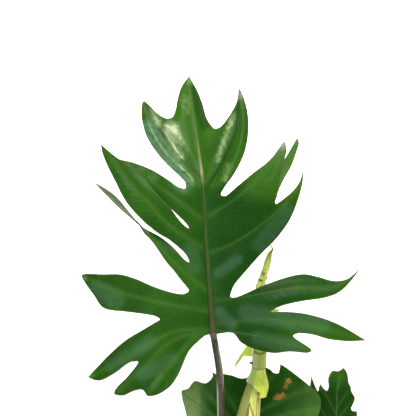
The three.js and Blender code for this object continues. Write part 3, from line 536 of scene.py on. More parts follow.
class Finish:
    """A material under work, built on one Principled shader."""
    def __init__(self, name):
        self.material = bpy.data.materials.new(name)
        self.material.use_nodes = True
        self.tree = self.material.node_tree
        self.shader = self.tree.nodes["Principled BSDF"]
        self.place = self.add("TexCoord", {}, {}, "Object")

    def add(self, kind, settings, sockets, out=0):
        """A new node of a kind with its settings and what goes into its sockets."""
        node = self.tree.nodes.new("ShaderNode" + kind)
        for key, value in settings.items():
            if key == "stops":
                self.set_stops(node.color_ramp, value)
            else:
                setattr(node, key, value)
        for key, value in sockets.items():
            self.feed(node.inputs[key], value)
        return Value(self, node.outputs[out])

    def set_stops(self, ramp_data, stops):
        """Gives a colour ramp its places and their colours."""
        while len(ramp_data.elements) < len(stops):
            ramp_data.elements.new(1.0)
        for element, (position, colour) in zip(ramp_data.elements, stops):
            element.position = position
            element.color = (*colour, 1)

    def feed(self, socket, value):
        """Links a socket to a value, or gives it a number or a colour."""
        if isinstance(value, Value):
            self.tree.links.new(value.socket, socket)
        elif isinstance(value, tuple) and len(value) == 3 and socket.type == "RGBA":
            socket.default_value = (*value, 1)
        else:
            socket.default_value = value

    def set(self, **sockets):
        for key, value in sockets.items():
            self.feed(self.shader.inputs[key.replace("_", " ")], value)

    def attribute(self, name):
        return self.add("Attribute", {"attribute_name": name}, {}, "Fac")

    def stretched(self, scale):
        return self.add("Mapping", {}, {"Vector": self.place, "Scale": scale})

    def noise(self, scale, detail=3.0, rough=0.55, vector=None):
        sockets = {"Vector": vector or self.place, "Scale": scale, "Detail": detail, "Roughness": rough}
        return self.add("TexNoise", {}, sockets, "Fac")

    def mix(self, factor, first, second):
        sockets = {0: factor, 6: first, 7: second}
        return self.add("Mix", {"data_type": "RGBA"}, sockets, 2)

    def tint(self, factor, stops):
        return self.add("ValToRGB", {"stops": stops}, {0: factor})

    def bump(self, height, distance, strength):
        sockets = {"Height": height, "Distance": distance, "Strength": strength}
        self.set(Normal=self.add("Bump", {}, sockets))

    def side_veins(self, faint, near, far):
        """Faint side veins that leave each vein at a slant, clear of it and of the next one."""
        off, along, clear = (self.attribute(a) for a in ("vein", "along", "clear"))
        wave = ((along * VEIN_STEP - off * SLANT) * 0.9).sine()
        return wave.step(faint, 1.0) * off.step(near, far) * clear.step(2, 9)


def leaf_face(name, deep, mid, fresh, sheen, gloss, mottled):
    """Glossy upper face: cloudy green, faint side veins, browned spots, a thin pale margin, with painted
    light: paler where the zone mark is high, darker under painted shade, and a painted sheen.
    """
    f = Finish(name)
    off, rim, zone, shade, scorch, shine = (
        f.attribute(a) for a in ("vein", "rim", "zone", "shade", "scorch", "shine"))
    cloud = f.noise(24, 4, 0.6).step(0.34, 0.68)
    fleck = f.noise(260, 4, 0.65)
    fine = f.noise(1100, 2, 0.6)
    side_veins = f.side_veins(0.55, 1.5, 5)
    colour = f.mix(cloud * 0.8, deep, mid)
    # The zone mark pales the green; on the large leaf and on the broad leaf's left this is painted light
    colour = f.mix(zone * (0.75 + 0.5 * (fleck - 0.5)), colour, fresh)
    # Painted shade: darker towards a deeper green where the shade mark is high
    colour = f.mix(shade, colour, tuple(c * 0.62 for c in deep))
    colour = f.mix(side_veins * 0.07, colour, fresh)
    colour = f.mix(fleck.step(0.52, 0.75) * 0.35, colour, deep)
    colour = f.mix(off.step(4.5, 0.5) * (1 - shade) * 0.3, colour, fresh)
    colour = f.mix(rim.step(1.4, 0.3) * 0.5, colour, (0.15, 0.12, 0.04))
    burnt = (scorch + (f.noise(520, 6, 0.9) - 0.5) * 5.2).step(0.45, 1.1) * scorch.step(0.02, 0.3)
    singed = f.mix(f.noise(700, 3).step(0.4, 0.62), (0.72, 0.31, 0.09), (0.36, 0.18, 0.03))
    colour = f.mix(burnt * 0.92, colour, singed)
    uneven = f.noise(60, 4, 0.7)
    mottle = (uneven * 0.5 + fleck * 0.5).step(0.38, 0.58)
    # Painted sheen: the mottled gloss-and-sheen mark pales the colour towards the sheen colours, and it also
    # sets the coat
    painted_sheen = shine * (0.55 + (mottle - 0.55) * (0.22 + mottled * zone.step(0.28, 0.5)))
    colour = f.mix(painted_sheen * 0.5, colour, f.mix(zone.step(0.42, 0.72), *sheen))
    f.set(Base_Color=colour, Specular_IOR_Level=0.08, Coat_Roughness=0.3)
    f.set(Coat_Weight=painted_sheen * (0.36 + 0.24 * zone.step(0.36, 0.58)))
    f.set(Roughness=gloss + 0.3 * (uneven - 0.4) + 0.12 * fine + 0.3 * burnt)
    f.bump(fleck * 0.6 + fine * 0.22 + side_veins * 0.25, 0.0006, 0.6)
    return f.material


def leaf_back(name, base, vein):
    """Dull pale underside with standing veins."""
    f = Finish(name)
    off, rim = f.attribute("vein"), f.attribute("rim")
    side_veins = f.side_veins(0.6, 1.0, 4)
    cloud = f.noise(40, 3).step(0.35, 0.7)
    colour = f.mix(cloud * 0.6, base, tuple(c * 0.75 for c in base))
    colour = f.mix(side_veins * 0.3 + off.step(3, 0.6) * 0.7, colour, vein)
    colour = f.mix(rim.step(1.0, 0.2) * 0.4, colour, (0.25, 0.22, 0.12))
    f.set(Base_Color=colour, Specular_IOR_Level=0.2, Roughness=0.55 + 0.12 * f.noise(160, 2))
    f.bump(side_veins + off.step(3, 0.0) * 1.6 + f.noise(600, 2) * 0.3, 0.0004, 0.6)
    return f.material


def rib_finish(name, stops, speck_tone):
    """A leaf's midrib or veins: the tone changes along them, with lengthwise streaks."""
    f = Finish(name)
    share = f.attribute("share")
    streak = f.noise(380, 3, 0.6, f.stretched((1, 1, 0.2)))
    speck = f.noise(800, 2, 0.5).step(0.6, 0.75)
    colour = f.tint(share, stops)
    colour = f.mix(streak.step(0.4, 0.7) * 0.3, colour, (0.02, 0.035, 0.01))
    colour = f.mix(speck * 0.25, colour, speck_tone)
    f.set(Base_Color=colour, Specular_IOR_Level=0.15, Roughness=0.38 + 0.2 * streak)
    f.bump(streak + speck * 0.3, 0.0003, 0.6)
    return f.material


def stalk_finish(name, base, dark, light, painted_light=False):
    """Dull stalk with lengthwise streaks and fine pale specks; one with painted light has a painted highlight
    on one side and painted shade on the other.
    """
    f = Finish(name)
    streak = f.noise(420, 3, 0.6, f.stretched((1, 1, 0.12)))
    speck = f.noise(900, 2, 0.5).step(0.6, 0.7)
    blotch = f.noise(480, 4, 0.7, f.stretched((1, 1, 0.5))).step(0.5, 0.64)
    cloud = f.noise(35, 3).step(0.3, 0.7)
    colour = f.mix(streak.step(0.35, 0.7), dark, base)
    colour = f.mix(cloud * 0.3, colour, light)
    colour = f.mix(blotch * 0.8, colour, dark)
    colour = f.mix(speck * 0.4, colour, light)
    if painted_light:
        # Painted shade on the dim side and a painted highlight on the pale side
        colour = f.mix(f.attribute("dim") * 0.9, colour, dark)
        colour = f.mix(f.attribute("pale") * (0.5 + 0.5 * streak), colour, (0.52, 0.48, 0.40))
    f.set(Base_Color=colour, Specular_IOR_Level=0.25, Roughness=0.46 + 0.2 * streak)
    f.bump(streak + speck * 0.4, 0.00035, 0.7)
    return f.material


def sheath_finish(name, base, pale, fibre, edge, dull):
    """Papery sheath: lengthwise fibres, pale streaks, dull places, a browned edge and painted highlight
    spots.
    """
    f = Finish(name)
    rim, bruise, dim = f.attribute("rim"), f.attribute("bruise"), f.attribute("dim")
    fibres = f.noise(640, 3, 0.6, f.stretched((1, 1, 0.05)))
    streaks = f.noise(150, 3, 0.6, f.stretched((1, 1, 0.1)))
    cloud = f.noise(60, 3)
    colour = f.mix(streaks.step(0.4, 0.66), base, pale)
    colour = f.mix(fibres.step(0.52, 0.74) * 0.55, colour, fibre)
    colour = f.mix(cloud.step(0.5, 0.7) * 0.25, colour, fibre)
    colour = f.mix(dim * (0.5 + streaks), colour, dull)
    edge_band = rim.step(1.1, 0.3) * f.noise(220, 3).step(0.3, 0.55)
    colour = f.mix((edge_band * 0.8).at_least(bruise), colour, edge)
    # Painted highlight spots, where the glint mark is high
    colour = f.mix(f.attribute("wet"), colour, (0.86, 0.92, 0.55))
    f.set(Base_Color=colour, Roughness=0.38 + 0.22 * fibres)
    f.set(Subsurface_Weight=0.08, Subsurface_Radius=(0.004, 0.006, 0.001), Subsurface_Scale=0.4)
    f.bump(fibres + streaks * 0.6, 0.0005, 0.7)
    return f.material


def crumb_finish(name, dark, mid, light):
    """Damp potting mix: dark crumbs with a few light ones."""
    f = Finish(name)
    grain = f.noise(260, 5, 0.7)
    coarse = f.noise(70, 4, 0.6)
    colour = f.tint(grain * 0.6 + coarse * 0.4, [(0.35, dark), (0.55, mid), (0.72, light)])
    f.set(Base_Color=colour, Roughness=0.8 + 0.15 * grain)
    f.bump(grain + coarse * 0.8, 0.002, 0.8)
    return f.material


def bark_finish(name):
    """Bark chips, each with its own tone."""
    f = Finish(name)
    tone = f.attribute("tone")
    grain = f.noise(500, 4, 0.65, f.stretched((1, 0.3, 1)))
    colour = f.tint(tone, [(0.0, (0.035, 0.018, 0.01)), (0.45, (0.10, 0.05, 0.028)),
                           (0.8, (0.20, 0.11, 0.06)), (1.0, (0.62, 0.6, 0.55))])
    colour = f.mix(grain.step(0.5, 0.7) * 0.45, colour, (0.03, 0.016, 0.01))
    f.set(Base_Color=colour, Roughness=0.75 + 0.15 * grain)
    f.bump(grain, 0.0006, 0.8)
    return f.material


def pot_finish(name, base, shade):
    """Moulded matt plastic with faint flow marks, scuffs and a dusty foot."""
    f = Finish(name)
    height = f.add("SeparateXYZ", {}, {0: f.place}, "Z")
    flow = f.noise(9, 3, 0.5, f.stretched((1, 1, 3)))
    grain = f.noise(1400, 2, 0.6)
    pale_mark = f.noise(75, 4, 0.7, f.stretched((1, 1, 0.35))).step(0.62, 0.74)
    colour = f.mix(flow.step(0.35, 0.7) * 0.5, base, shade)
    colour = f.mix(pale_mark * 0.22, colour, tuple(min(1.0, c * 1.5 + 0.05) for c in base))
    dust = height.step(0.03, 0.0) * f.noise(45, 4).step(0.4, 0.65)
    colour = f.mix(dust * 0.35, colour, (0.30, 0.22, 0.16))
    f.set(Base_Color=colour, Roughness=0.52 + 0.14 * flow + 0.08 * pale_mark)
    f.bump(grain * 0.5 + flow * 0.2, 0.0002, 0.5)
    return f.material


# Each face's sheen pair, cool then warm, colours its painted sheen
FACE = leaf_face("leaf_face", (0.007, 0.053, 0.002), (0.020, 0.094, 0.004), (0.062, 0.175, 0.014),
                 ((0.17, 0.31, 0.21), (0.50, 0.56, 0.22)), 0.3, 0.66)
BROAD_FACE = leaf_face("broad_leaf_face", (0.008, 0.068, 0.0025), (0.025, 0.13, 0.0045), (0.15, 0.29, 0.065),
                       ((0.14, 0.30, 0.09), (0.42, 0.52, 0.20)), 0.4, 0.1)
BACK = leaf_back("leaf_back", (0.085, 0.145, 0.05), (0.18, 0.24, 0.10))
RIB = rib_finish("midrib", [(0.0, (0.075, 0.062, 0.036)), (0.07, (0.043, 0.062, 0.014)),
                            (0.3, (0.035, 0.078, 0.011)), (0.56, (0.032, 0.085, 0.011)),
                            (0.62, (0.30, 0.30, 0.12)), (0.72, (0.12, 0.18, 0.06)),
                            (1.0, (0.05, 0.13, 0.025))], (0.22, 0.22, 0.14))
SMALL_RIB = rib_finish("small_midrib", [(0.0, (0.06, 0.075, 0.03)), (0.3, (0.04, 0.09, 0.018)),
                                        (1.0, (0.06, 0.13, 0.03))], (0.2, 0.22, 0.13))
VEIN = rib_finish("veins", [(0.0, (0.03, 0.085, 0.012)), (0.4, (0.065, 0.14, 0.04)),
                            (1.0, (0.025, 0.09, 0.01))], (0.18, 0.24, 0.12))
JOINT = stalk_finish("leaf_joint", (0.11, 0.09, 0.05), (0.05, 0.04, 0.022), (0.32, 0.29, 0.2))
STALK = stalk_finish("stalk", (0.070, 0.055, 0.033), (0.018, 0.013, 0.008), (0.18, 0.155, 0.10), painted_light=True)
SMALL_STALK = stalk_finish("small_stalk", (0.11, 0.15, 0.05), (0.07, 0.07, 0.03), (0.2, 0.22, 0.1))
SHEATH_SKIN = sheath_finish("sheath", (0.47, 0.51, 0.055), (0.72, 0.74, 0.20), (0.26, 0.27, 0.045),
                            (0.12, 0.05, 0.01), (0.23, 0.25, 0.06))
SKIRT_SKIN = sheath_finish("skirt", (0.60, 0.74, 0.05), (0.78, 0.88, 0.14), (0.36, 0.46, 0.035),
                           (0.50, 0.46, 0.10), (0.40, 0.47, 0.13))
COLLAR_SKIN = sheath_finish("collar", (0.32, 0.40, 0.045), (0.47, 0.53, 0.10), (0.22, 0.28, 0.03),
                            (0.30, 0.24, 0.06), (0.46, 0.50, 0.22))
SHOOT_SKIN = sheath_finish("shoot", (0.42, 0.55, 0.06), (0.60, 0.66, 0.16), (0.26, 0.38, 0.04),
                           (0.55, 0.20, 0.03), (0.045, 0.025, 0.01))
FLAP_SKIN = sheath_finish("flap", (0.52, 0.70, 0.04), (0.72, 0.84, 0.16), (0.40, 0.52, 0.03),
                          (0.62, 0.66, 0.30), (0.30, 0.40, 0.06))
STEM_SKIN = stalk_finish("stem", (0.26, 0.28, 0.09), (0.14, 0.13, 0.05), (0.40, 0.40, 0.2))
ROOT_SKIN = stalk_finish("air_root", (0.20, 0.13, 0.08), (0.09, 0.055, 0.035), (0.36, 0.27, 0.18))
MIX_SKIN = crumb_finish("potting_mix", (0.012, 0.008, 0.006), (0.045, 0.028, 0.018), (0.12, 0.085, 0.055))
BARK_SKIN = bark_finish("bark_chips")
POT_SKIN = pot_finish("pot", (0.36, 0.12, 0.06), (0.27, 0.085, 0.045))


# Leaf pieces

def leaf_frame(foot, towards_tip, facing):
    """The place of a leaf in the plant, from its foot, the way to its tip and the way that its face looks."""
    up = Vector(towards_tip).normalized()
    face = Vector(facing)
    face = (face - up * face.dot(up)).normalized()
    turn = Matrix((up.cross(face), up, face)).transposed().to_4x4()
    return Matrix.Translation(Vector(foot)) @ turn


def upright_leaf(foot):
    """The place of a leaf that is square to the view."""
    c, s = math.cos(LEAN_BACK), math.sin(LEAN_BACK)
    return leaf_frame(foot, (0, s, c), (0, -c, s))


def rounded_notches(outline, corners):
    """Softens the outline around its notches, apart from two that lie close together."""
    close = 6
    reach = 2
    rounds = 3
    soft = set()
    for corner in corners:
        if min((corner - other).length for other in corners if other is not corner) < close:
            continue
        at = min(range(len(outline)), key=lambda i: (outline[i] - corner).length)
        soft |= {(at + k) % len(outline) for k in range(-reach, reach + 1)}
    for _ in range(rounds):
        count = len(outline)
        outline = [(outline[i - 1] + outline[i] * 2 + outline[(i + 1) % count]) / 4 if i in soft else p
                   for i, p in enumerate(outline)]
    return outline


def leaf_relief(off, along, clear, rim, depth):
    """Puffing between the veins, in mm: low at a vein, full in between, flat at the margin."""
    side_vein = math.sin((along * VEIN_STEP - off * SLANT) * 0.7)
    quilt = 0.12 * side_vein * smooth(off / 5) * smooth((clear - 2) / 6)
    return (depth * smooth(off / 10) + quilt) * smooth(rim / 7)


def vein_lines(leaf):
    """Every vein as a smooth line, the midrib last, and which of them lie in a groove."""
    lobes = [lobe for lobe in leaf["lobes"] if "vein" in lobe]
    flat = [lobe["vein"] for lobe in lobes] + leaf.get("veins", []) + [leaf["midrib"]]
    grooved = {i for i, lobe in enumerate(lobes) if lobe.get("grooved")}
    return [fine_path(vein, 4) for vein in flat], grooved


def leaf_piece(name, bm, node, matrix, materials):
    """A piece of a leaf, moved from the leaf's own frame to its place."""
    bmesh.ops.transform(bm, matrix=matrix, verts=bm.verts[:])
    finished(name, bm, node, materials)


def blade_outline(leaf, lobes):
    """The whole margin of a blade, softened at its notches."""
    outline = [p for lobe in lobes for p in lobe["margin"]] + [Vector(leaf["lobes"][-1]["notch"])]
    return rounded_notches(outline, [Vector(lobe["notch"]) for lobe in leaf["lobes"][:-1]])


def nearest_veins(searches, spot):
    """Of the two nearest veins: how far off, how many steps along, and the vein's number."""
    found = []
    for number, find in enumerate(searches):
        _, along, off = find(spot)
        found.append((off, along, number))
    return sorted(found)[:2]


def mark_blade(bm, outline, veins, grooved, tones_at, depth_at):
    """Gives each vertex of a flat blade its marks, and works out how far it is raised."""
    middles = [(a + b) / 2 for a, b in zip(outline, outline[1:] + outline[:1])]
    margin = finder(outline + middles)
    searches = [finder(spline(vein, VEIN_STEP)) for vein in veins]
    marks = layers(bm, "vein", "along", "clear", "rim", "zone", "shade", "scorch", "shine")
    reliefs = {}
    for v in bm.verts:
        p = Vector((v.co.x, v.co.y))
        rim = margin(v.co)[2]
        (off, along, nearest), (second_off, _, _) = nearest_veins(searches, v.co)
        clear = second_off - off
        pale, shade, scorch, shine = tones_at(p)
        # Painted shade in the groove along a grooved vein
        if nearest in grooved:
            shade = max(shade, 0.9 * smooth(1.25 - off / 2.4))
        for mark, value in zip(marks, (off, along, clear, rim, pale, shade, scorch, shine)):
            v[mark] = value
        reliefs[v] = leaf_relief(off, along, clear, rim, depth_at(p))
    return reliefs


def make_blade(name, leaf, matrix, face, tones_at, depth_at):
    """One blade with its midrib and veins."""
    lobes = traced_lobes(leaf, MARGIN_STEP)
    place = leaf_surface(leaf, lobes)
    outline = blade_outline(leaf, lobes)
    veins, grooved = vein_lines(leaf)
    bm = filled_sheet(outline, INNER_STEP)
    reliefs = mark_blade(bm, outline, veins, grooved, tones_at, depth_at)
    for v in bm.verts:
        v.co = place(v.co.x, v.co.y)
    bm.normal_update()
    for v in bm.verts:
        v.co += v.normal * reliefs[v]
    raised = [vein for i, vein in enumerate(veins[:-1]) if i not in grooved]
    make_veins(name, raised, leaf.get("stout"), bm, place, matrix)
    thickened(bm, BLADE)
    leaf_piece(name, bm, name, matrix, [face, BACK])
    make_rib(name, leaf, matrix, place)


def vein_radius(t, stout):
    """A vein tapers, and a stout one swells at one place."""
    extra = stout["extra"] * smooth(1.3 - abs(t - stout["middle"]) / stout["reach"]) if stout else 0
    return 0.5 - 0.3 * t + extra


def make_veins(name, veins, stout, sheet, place, matrix):
    """Thin raised veins that follow the face; the stout one is thick where its lobe turns edge on."""
    sheet.normal_update()
    face = BVHTree.FromBMesh(sheet)
    sunk = 0.1  # how far the middle of a vein lies under the face
    bm = bmesh.new()
    for vein in veins:
        path = []
        for p in vein:
            spot, normal, _, _ = face.find_nearest(place(p.x, p.y))
            path.append(spot + normal * (BLADE / 2 - sunk))
        swell = stout if stout and vein[0] == Vector(stout["start"]) else None
        tube(path, lambda t, swell=swell: vein_radius(t, swell), 6, bm=bm)
    leaf_piece(name + "_veins", bm, name, matrix, [VEIN])


def make_rib(name, leaf, matrix, place):
    """The raised midrib, which shows on both faces."""
    path = [place(*p) for p in fine_path(leaf["midrib"], 4)]
    path = [p for p in path if p.y > RIB_START]
    bm = tube(path, lambda t: ramp(leaf["rib"], t), 16)
    leaf_piece(name + "_midrib", bm, name, matrix, [RIB if leaf is LARGE_LEAF else SMALL_RIB])


# Tones of a place on a leaf: how pale (painted light on the large leaf and on the broad leaf's left), how
# deep in painted shade, how scorched, and how glossy with painted sheen

# Each gleam is a stroke of painted sheen from one place to another, with its half width and its strength
GLEAMS = [
    ((-43, 204), (-33.5, 180), 6.5, 1.0), ((-59, 221), (-57, 210), 4.5, 0.75),
    ((-66, 203), (-30, 150), 8.5, 1.0), ((71, 193), (69, 184), 2.5, 0.5), ((-29, 234), (-27, 222), 4.5, 0.4),
    ((20, 219), (4, 172), 2.4, 0.85), ((16, 167), (11, 153), 3.2, 0.6), ((24.8, 246), (26, 236), 3, 0.7),
    ((-24.5, 257), (-23.5, 250), 2.5, 0.6), ((-24, 82), (-20, 66), 8, 0.28), ((5, 60), (24, 74), 5, 0.4),
    ((46, 88), (74, 122), 7, 0.3), ((7, 20), (18, 9), 6, 0.45), ((-102, -33), (-62, -8), 6, 0.42),
    ((-72, -42), (-42, -26), 6, 0.34), ((-60, -54), (-52, -42), 3, 0.4), ((-114, 44), (-98, 34), 9, 0.45),
    ((-78, 172), (-58, 158), 6, 0.38), ((34, 20), (108, 8), 9, 0.42), ((45, -4), (84, -14), 7, 0.34),
    ((-130, 56), (-128, 54), 1.8, 1.0), ((-123, -42), (-121, -43), 1.8, 1.0),
]
# Cool painted sheen, where the painted paleness is less and the crown is puffed less
COOL_GLEAMS = [((-70, 212), (-31, 150), 7, 0.34)]
# Warm painted highlights, which are also painted paler
WARM_GLEAMS = [
    ((20, 219), (4, 172), 3, 0.7), ((16, 167), (11, 153), 3.5, 0.65), ((24.8, 246), (26, 236), 3, 0.6),
    ((69, 180), (56, 152), 2.5, 0.62), ((-78, 172), (-58, 158), 6, 0.48),
]
# Places of painted shade
PAINTED_SHADE_PLACES = [
    ((-18, 245), (-8, 208), 5.5, 0.7), ((4, 187), (-2, 178), 5, 0.3), ((72, 172), (66, 150), 2, 0.6),
]
# Painted sheen on the broad leaf's left
BROAD_GLEAMS = [((-58, 8), (-54, 40), 15, 1.0), ((-44, 40), (-36, 56), 8, 0.5)]
SCORCHES = [((49.5, 61.5), 4.6), ((46.2, 56), 3.8), ((39, 45), 4.6), ((43, 46.5), 4.2), ((35.5, 43), 3.2)]


def gleam(p, strokes):
    """The strongest of the strokes that reach a place."""
    best = 0.0
    for start, end, size, strength in strokes:
        off = off_segment(Vector(start), Vector(end), p)
        best = max(best, strength * smooth(1.5 - off / size))
    return best


def young_tones(p):
    """The low leaf and the back leaf, even all over."""
    return 0.1, 0.3, 0.0, 0.15


def side_tones(p):
    """The right leaf: under painted shade that lifts towards its top, which is also paler."""
    high = smooth((p.y - 62) / 20)
    return 0.25 * high, 0.75 - 0.6 * high, 0.0, 0.0


def crown_share(p):
    """1 on the three lobes above the bend, 0 on the rest."""
    return smooth((p.y - 141 - 0.93 * max(0, -28 - p.x) - 1.1 * max(0, p.x - 6.5)) / 8)


def large_tones(p):
    """Painted light and shade: paler above the bend and a little on the left, paler on the arms to the right,
    painted shade on the right and at the shaded places, and the painted sheen of the gleams.
    """
    crown = crown_share(p)
    left = 0.14 * smooth((-6 - p.x) / 14) * (1 - crown)
    arms = 0.26 * smooth((p.x - 30) / 40) * smooth((30 - p.y) / 20)
    high = smooth((p.y - 118) / 30) * smooth((p.x - 20) / 20)
    arms += 0.5 * high * (1 - crown)
    right = 0.55 * smooth((p.x + 2) / 12) * (1 - crown) * (1 - high) * smooth((95 - p.x) / 40)
    side = 0.3 * crown * smooth((p.x + 8) / 20)
    pale = (0.6 - side) * crown * (1 - gleam(p, COOL_GLEAMS)) + left + arms
    deep = max(right, gleam(p, PAINTED_SHADE_PLACES))
    return min(1.0, max(pale, gleam(p, WARM_GLEAMS))), deep, 0.0, gleam(p, GLEAMS)


def broad_tones(p):
    """Painted light and painted sheen on the left and painted shade elsewhere; a little paler on the right,
    with the scorched patches.
    """
    pale = 1.0 * smooth((-38 - p.x) / 16) + 0.3 * smooth((p.x - 60) / 12)
    scorch = max(smooth(1.3 - (p - Vector(spot)).length / size) for spot, size in SCORCHES)
    pale += 0.22 * smooth((p.x - 40) / 20) * smooth((64 - p.y) / 14)
    return min(1.0, pale), 0.3 * (1 - smooth((-20 - p.x) / 16)), scorch, gleam(p, BROAD_GLEAMS)


def low_relief(p):
    """The puffing of the smaller leaves, in mm."""
    return 1.0


def large_relief(p):
    """The crown is puffed more, apart from its cool gleam."""
    return 1.1 + 1.5 * crown_share(p) - 1.2 * gleam(p, COOL_GLEAMS)


LEAVES = {
    "large_leaf": (LARGE_LEAF, upright_leaf((-16.5, -45, 340)), FACE, large_tones, large_relief),
    "broad_leaf": (BROAD_LEAF, upright_leaf((16, 30, 196.5)), BROAD_FACE, broad_tones, low_relief),
    "right_leaf": (RIGHT_LEAF, upright_leaf((118.4, 40, 180.6)), FACE, side_tones, low_relief),
    "low_leaf": (young_leaf(118), leaf_frame((-58, -49, 200), (-0.72, -0.6, -0.28), (-0.25, -0.2, 0.95)),
                 BROAD_FACE, young_tones, low_relief),
    "back_leaf": (young_leaf(108), leaf_frame((-2, 47, 183), (0.25, 0.96, 0.12), (0, -0.12, 1)),
                  BROAD_FACE, young_tones, low_relief),
}

for leaf_name, parts in LEAVES.items():
    make_blade(leaf_name + "_blade", *parts)


# Stalks and roots: the lead, in the leaf's own frame, brings a stalk to its blade

STALKS = {
    "large_leaf": {"path": [(2, -1, 158), (-3, -9, 170), (-6, -15, 190), (-8, -22, 222), (-8.5, -26, 244.3),
                            (-9.3, -33, 277.5), (-10.3, -36.5, 295.7)], "lead": (4.1, -26.4, -10.2),
                   "radius": [(0, 6.5), (0.1, 5.8), (0.2, 4.6), (0.6, 3.9), (1, 3.4)]},
    "broad_leaf": {"path": [(2, 1, 154), (7, 12, 163), (11, 20, 174)], "lead": (-1, -14, -1),
                   "radius": [(0, 5), (0.4, 4), (1, 2.4)]},
    "right_leaf": {"path": [(2, 0, 147), (20, 6, 152), (50, 16, 155), (84, 28, 159)], "lead": (-7, -14, -1),
                   "radius": [(0, 4.6), (0.15, 3.6), (0.4, 2.6), (1, 2)]},
    "low_leaf": {"path": [(0, -1, 147), (-14, -12, 160), (-32, -27, 184)], "lead": (0, -14, -2),
                 "radius": [(0, 4.6), (0.2, 3.4), (1, 2.1)]},
    "back_leaf": {"path": [(0, 2, 146), (-6, 12, 155), (-7, 26, 168)], "lead": (0, -14, -2),
                  "radius": [(0, 4.6), (0.4, 3.4), (1, 2.1)]},
}
JOINT_SPAN = (-6.2, -5, -3.5, -2, -0.5, 1, 2.2)  # places along the leaf


def paint_stalk_light(bm):
    """Paints light on the large stalk by which way each place faces: a painted highlight on the left low down
    and on the right higher up, painted shade opposite, and a pale mark.
    """
    bm.normal_update()
    pale, dim = layers(bm, "pale", "dim")
    turn, top = 290, 330
    pale_mark = Vector((-8, -40, 308))
    for v in bm.verts:
        low = smooth((turn - v.co.z) / 20)
        high = (1 - low) * smooth((top - v.co.z) / 8)
        left, right = smooth((-0.35 - v.normal.x) / 0.45), smooth((v.normal.x - 0.35) / 0.45)
        v[pale] = max(low * left, 0.5 * high * right, 0.6 * smooth(2 - (v.co - pale_mark).length / 2))
        v[dim] = max(low * right, high * left)


def make_stalk(leaf_name, stalk):
    """A stalk, and the swollen joint that carries its blade."""
    name = leaf_name + "_stalk"
    large = leaf_name == "large_leaf"
    matrix = LEAVES[leaf_name][1]
    joint = [matrix @ Vector(p) for p in (stalk["lead"], (0, RIB_START + 0.4, 0))]
    bm = tube(fine_path([*stalk["path"], *joint], 4), lambda t: ramp(stalk["radius"], t), 20)
    if large:
        paint_stalk_light(bm)
    finished(name, bm, name, [STALK if large else SMALL_STALK])
    end = stalk["radius"][-1][1]
    bm = tube([matrix @ Vector((0, y, 0)) for y in JOINT_SPAN],
              lambda t: end * (0.75 + 0.36 * math.sin(math.pi * t)), 20,
              lambda angle, t: 1 + 0.03 * math.sin(angle * 5 + 7 * t))
    finished(leaf_name + "_joint", bm, name, [JOINT])


for leaf_name, stalk in STALKS.items():
    make_stalk(leaf_name, stalk)

ROOTS = [
    [(3, -3, 166), (-10, -11, 158), (-17, -17, 148), (-21, -21, 134), (-22, -23, 118)],
    [(4, 2, 160), (17, -9, 154), (26, -13, 146), (31, -15, 132), (32, -16, 116)],
    [(2, 4, 160), (-9, 12, 152), (-16, 18, 142), (-19, 21, 128), (-20, 22, 112)],
]
for number, points in enumerate(ROOTS, 1):
    bm = tube(fine_path(points, 2.5), lambda t: 1.9 - 0.5 * t, 12,
              lambda angle, t: 1 + 0.05 * math.sin(40 * t + 2 * angle))
    finished(f"air_root_{number}", bm, f"air_root_{number}", [ROOT_SKIN])


# Stem and its sheaths

STEM_AXIS = [(0, 0, 84), (0, 0, 112), (1, 0, 140), (6, 0, 172), (13, 0, 204), (20.2, 0, 234), (23.4, 0, 252),
             (27.4, 0, 269), (31, 0, 289), (31.7, 0, 303)]
STEM_RADIUS = [(84, 8), (140, 10), (168, 10.2), (176, 11), (184, 10.2), (200, 10.6), (234, 10.4), (252, 8.4),
               (268, 6.7), (290, 5.9), (303, 5.7)]
STEM_LINE = fine_path(STEM_AXIS, 2)
STEM_TOP = 303
COLLAR_MIDDLE = 31.9  # how far to the right it lies
LEAF_SCARS = (150, 163, 176, 192)  # heights of the rings that old leaves left


def stem_centre(z):
    """The middle of the stem at a height, and of the collar above it."""
    if z > STEM_TOP:
        return Vector((COLLAR_MIDDLE, 0, z))
    for a, b in zip(STEM_LINE, STEM_LINE[1:]):
        if a.z <= z <= b.z:
            return a.lerp(b, (z - a.z) / (b.z - a.z))
    return STEM_LINE[0].copy()


def make_stem():
    """The stem, level all the way up, with its rings."""
    bm = tube(STEM_LINE, lambda t: 1, 32)
    for v in bm.verts:
        nearest = min(STEM_LINE, key=lambda p: (p - v.co).length)
        away = (v.co - nearest).normalized()
        flat = Vector((away.x, away.y, 0)).normalized()
        scar = 0.35 * sum(math.exp(-((nearest.z - ring) / 1.3) ** 2) for ring in LEAF_SCARS)
        v.co = nearest + flat * (ramp(STEM_RADIUS, nearest.z) + scar)
    finished("stem", bm, "stem", [STEM_SKIN])


make_stem()

# Each sheath's outline on its flattened cylinder, as (degrees round from the front, height)
LOWER_SHEATH = [(-168, 178), (-90, 180), (-60, 184), (-20, 196), (-14, 240), (-12, 250), (-6, 240), (4, 188),
                (70, 182), (168, 178), (168, 258), (90, 272), (0, 274), (-60, 275), (-168, 262)]
SKIRT = [(-168, 264), (-120, 270), (-90, 272.6), (-40, 272.8), (-18, 272), (0, 267.5), (26, 263.8),
         (31, 258.4), (60, 257.4), (88, 255.6), (104, 258.5), (130, 263), (168, 266), (168, 287.5),
         (-168, 287.5)]
COLLAR = [(-168, 288.2), (168, 288.2), (168, 304.5), (60, 305.4), (0, 304.2), (-60, 306), (-168, 308)]
DEGREE = 0.45  # width of one degree on the flat sheath

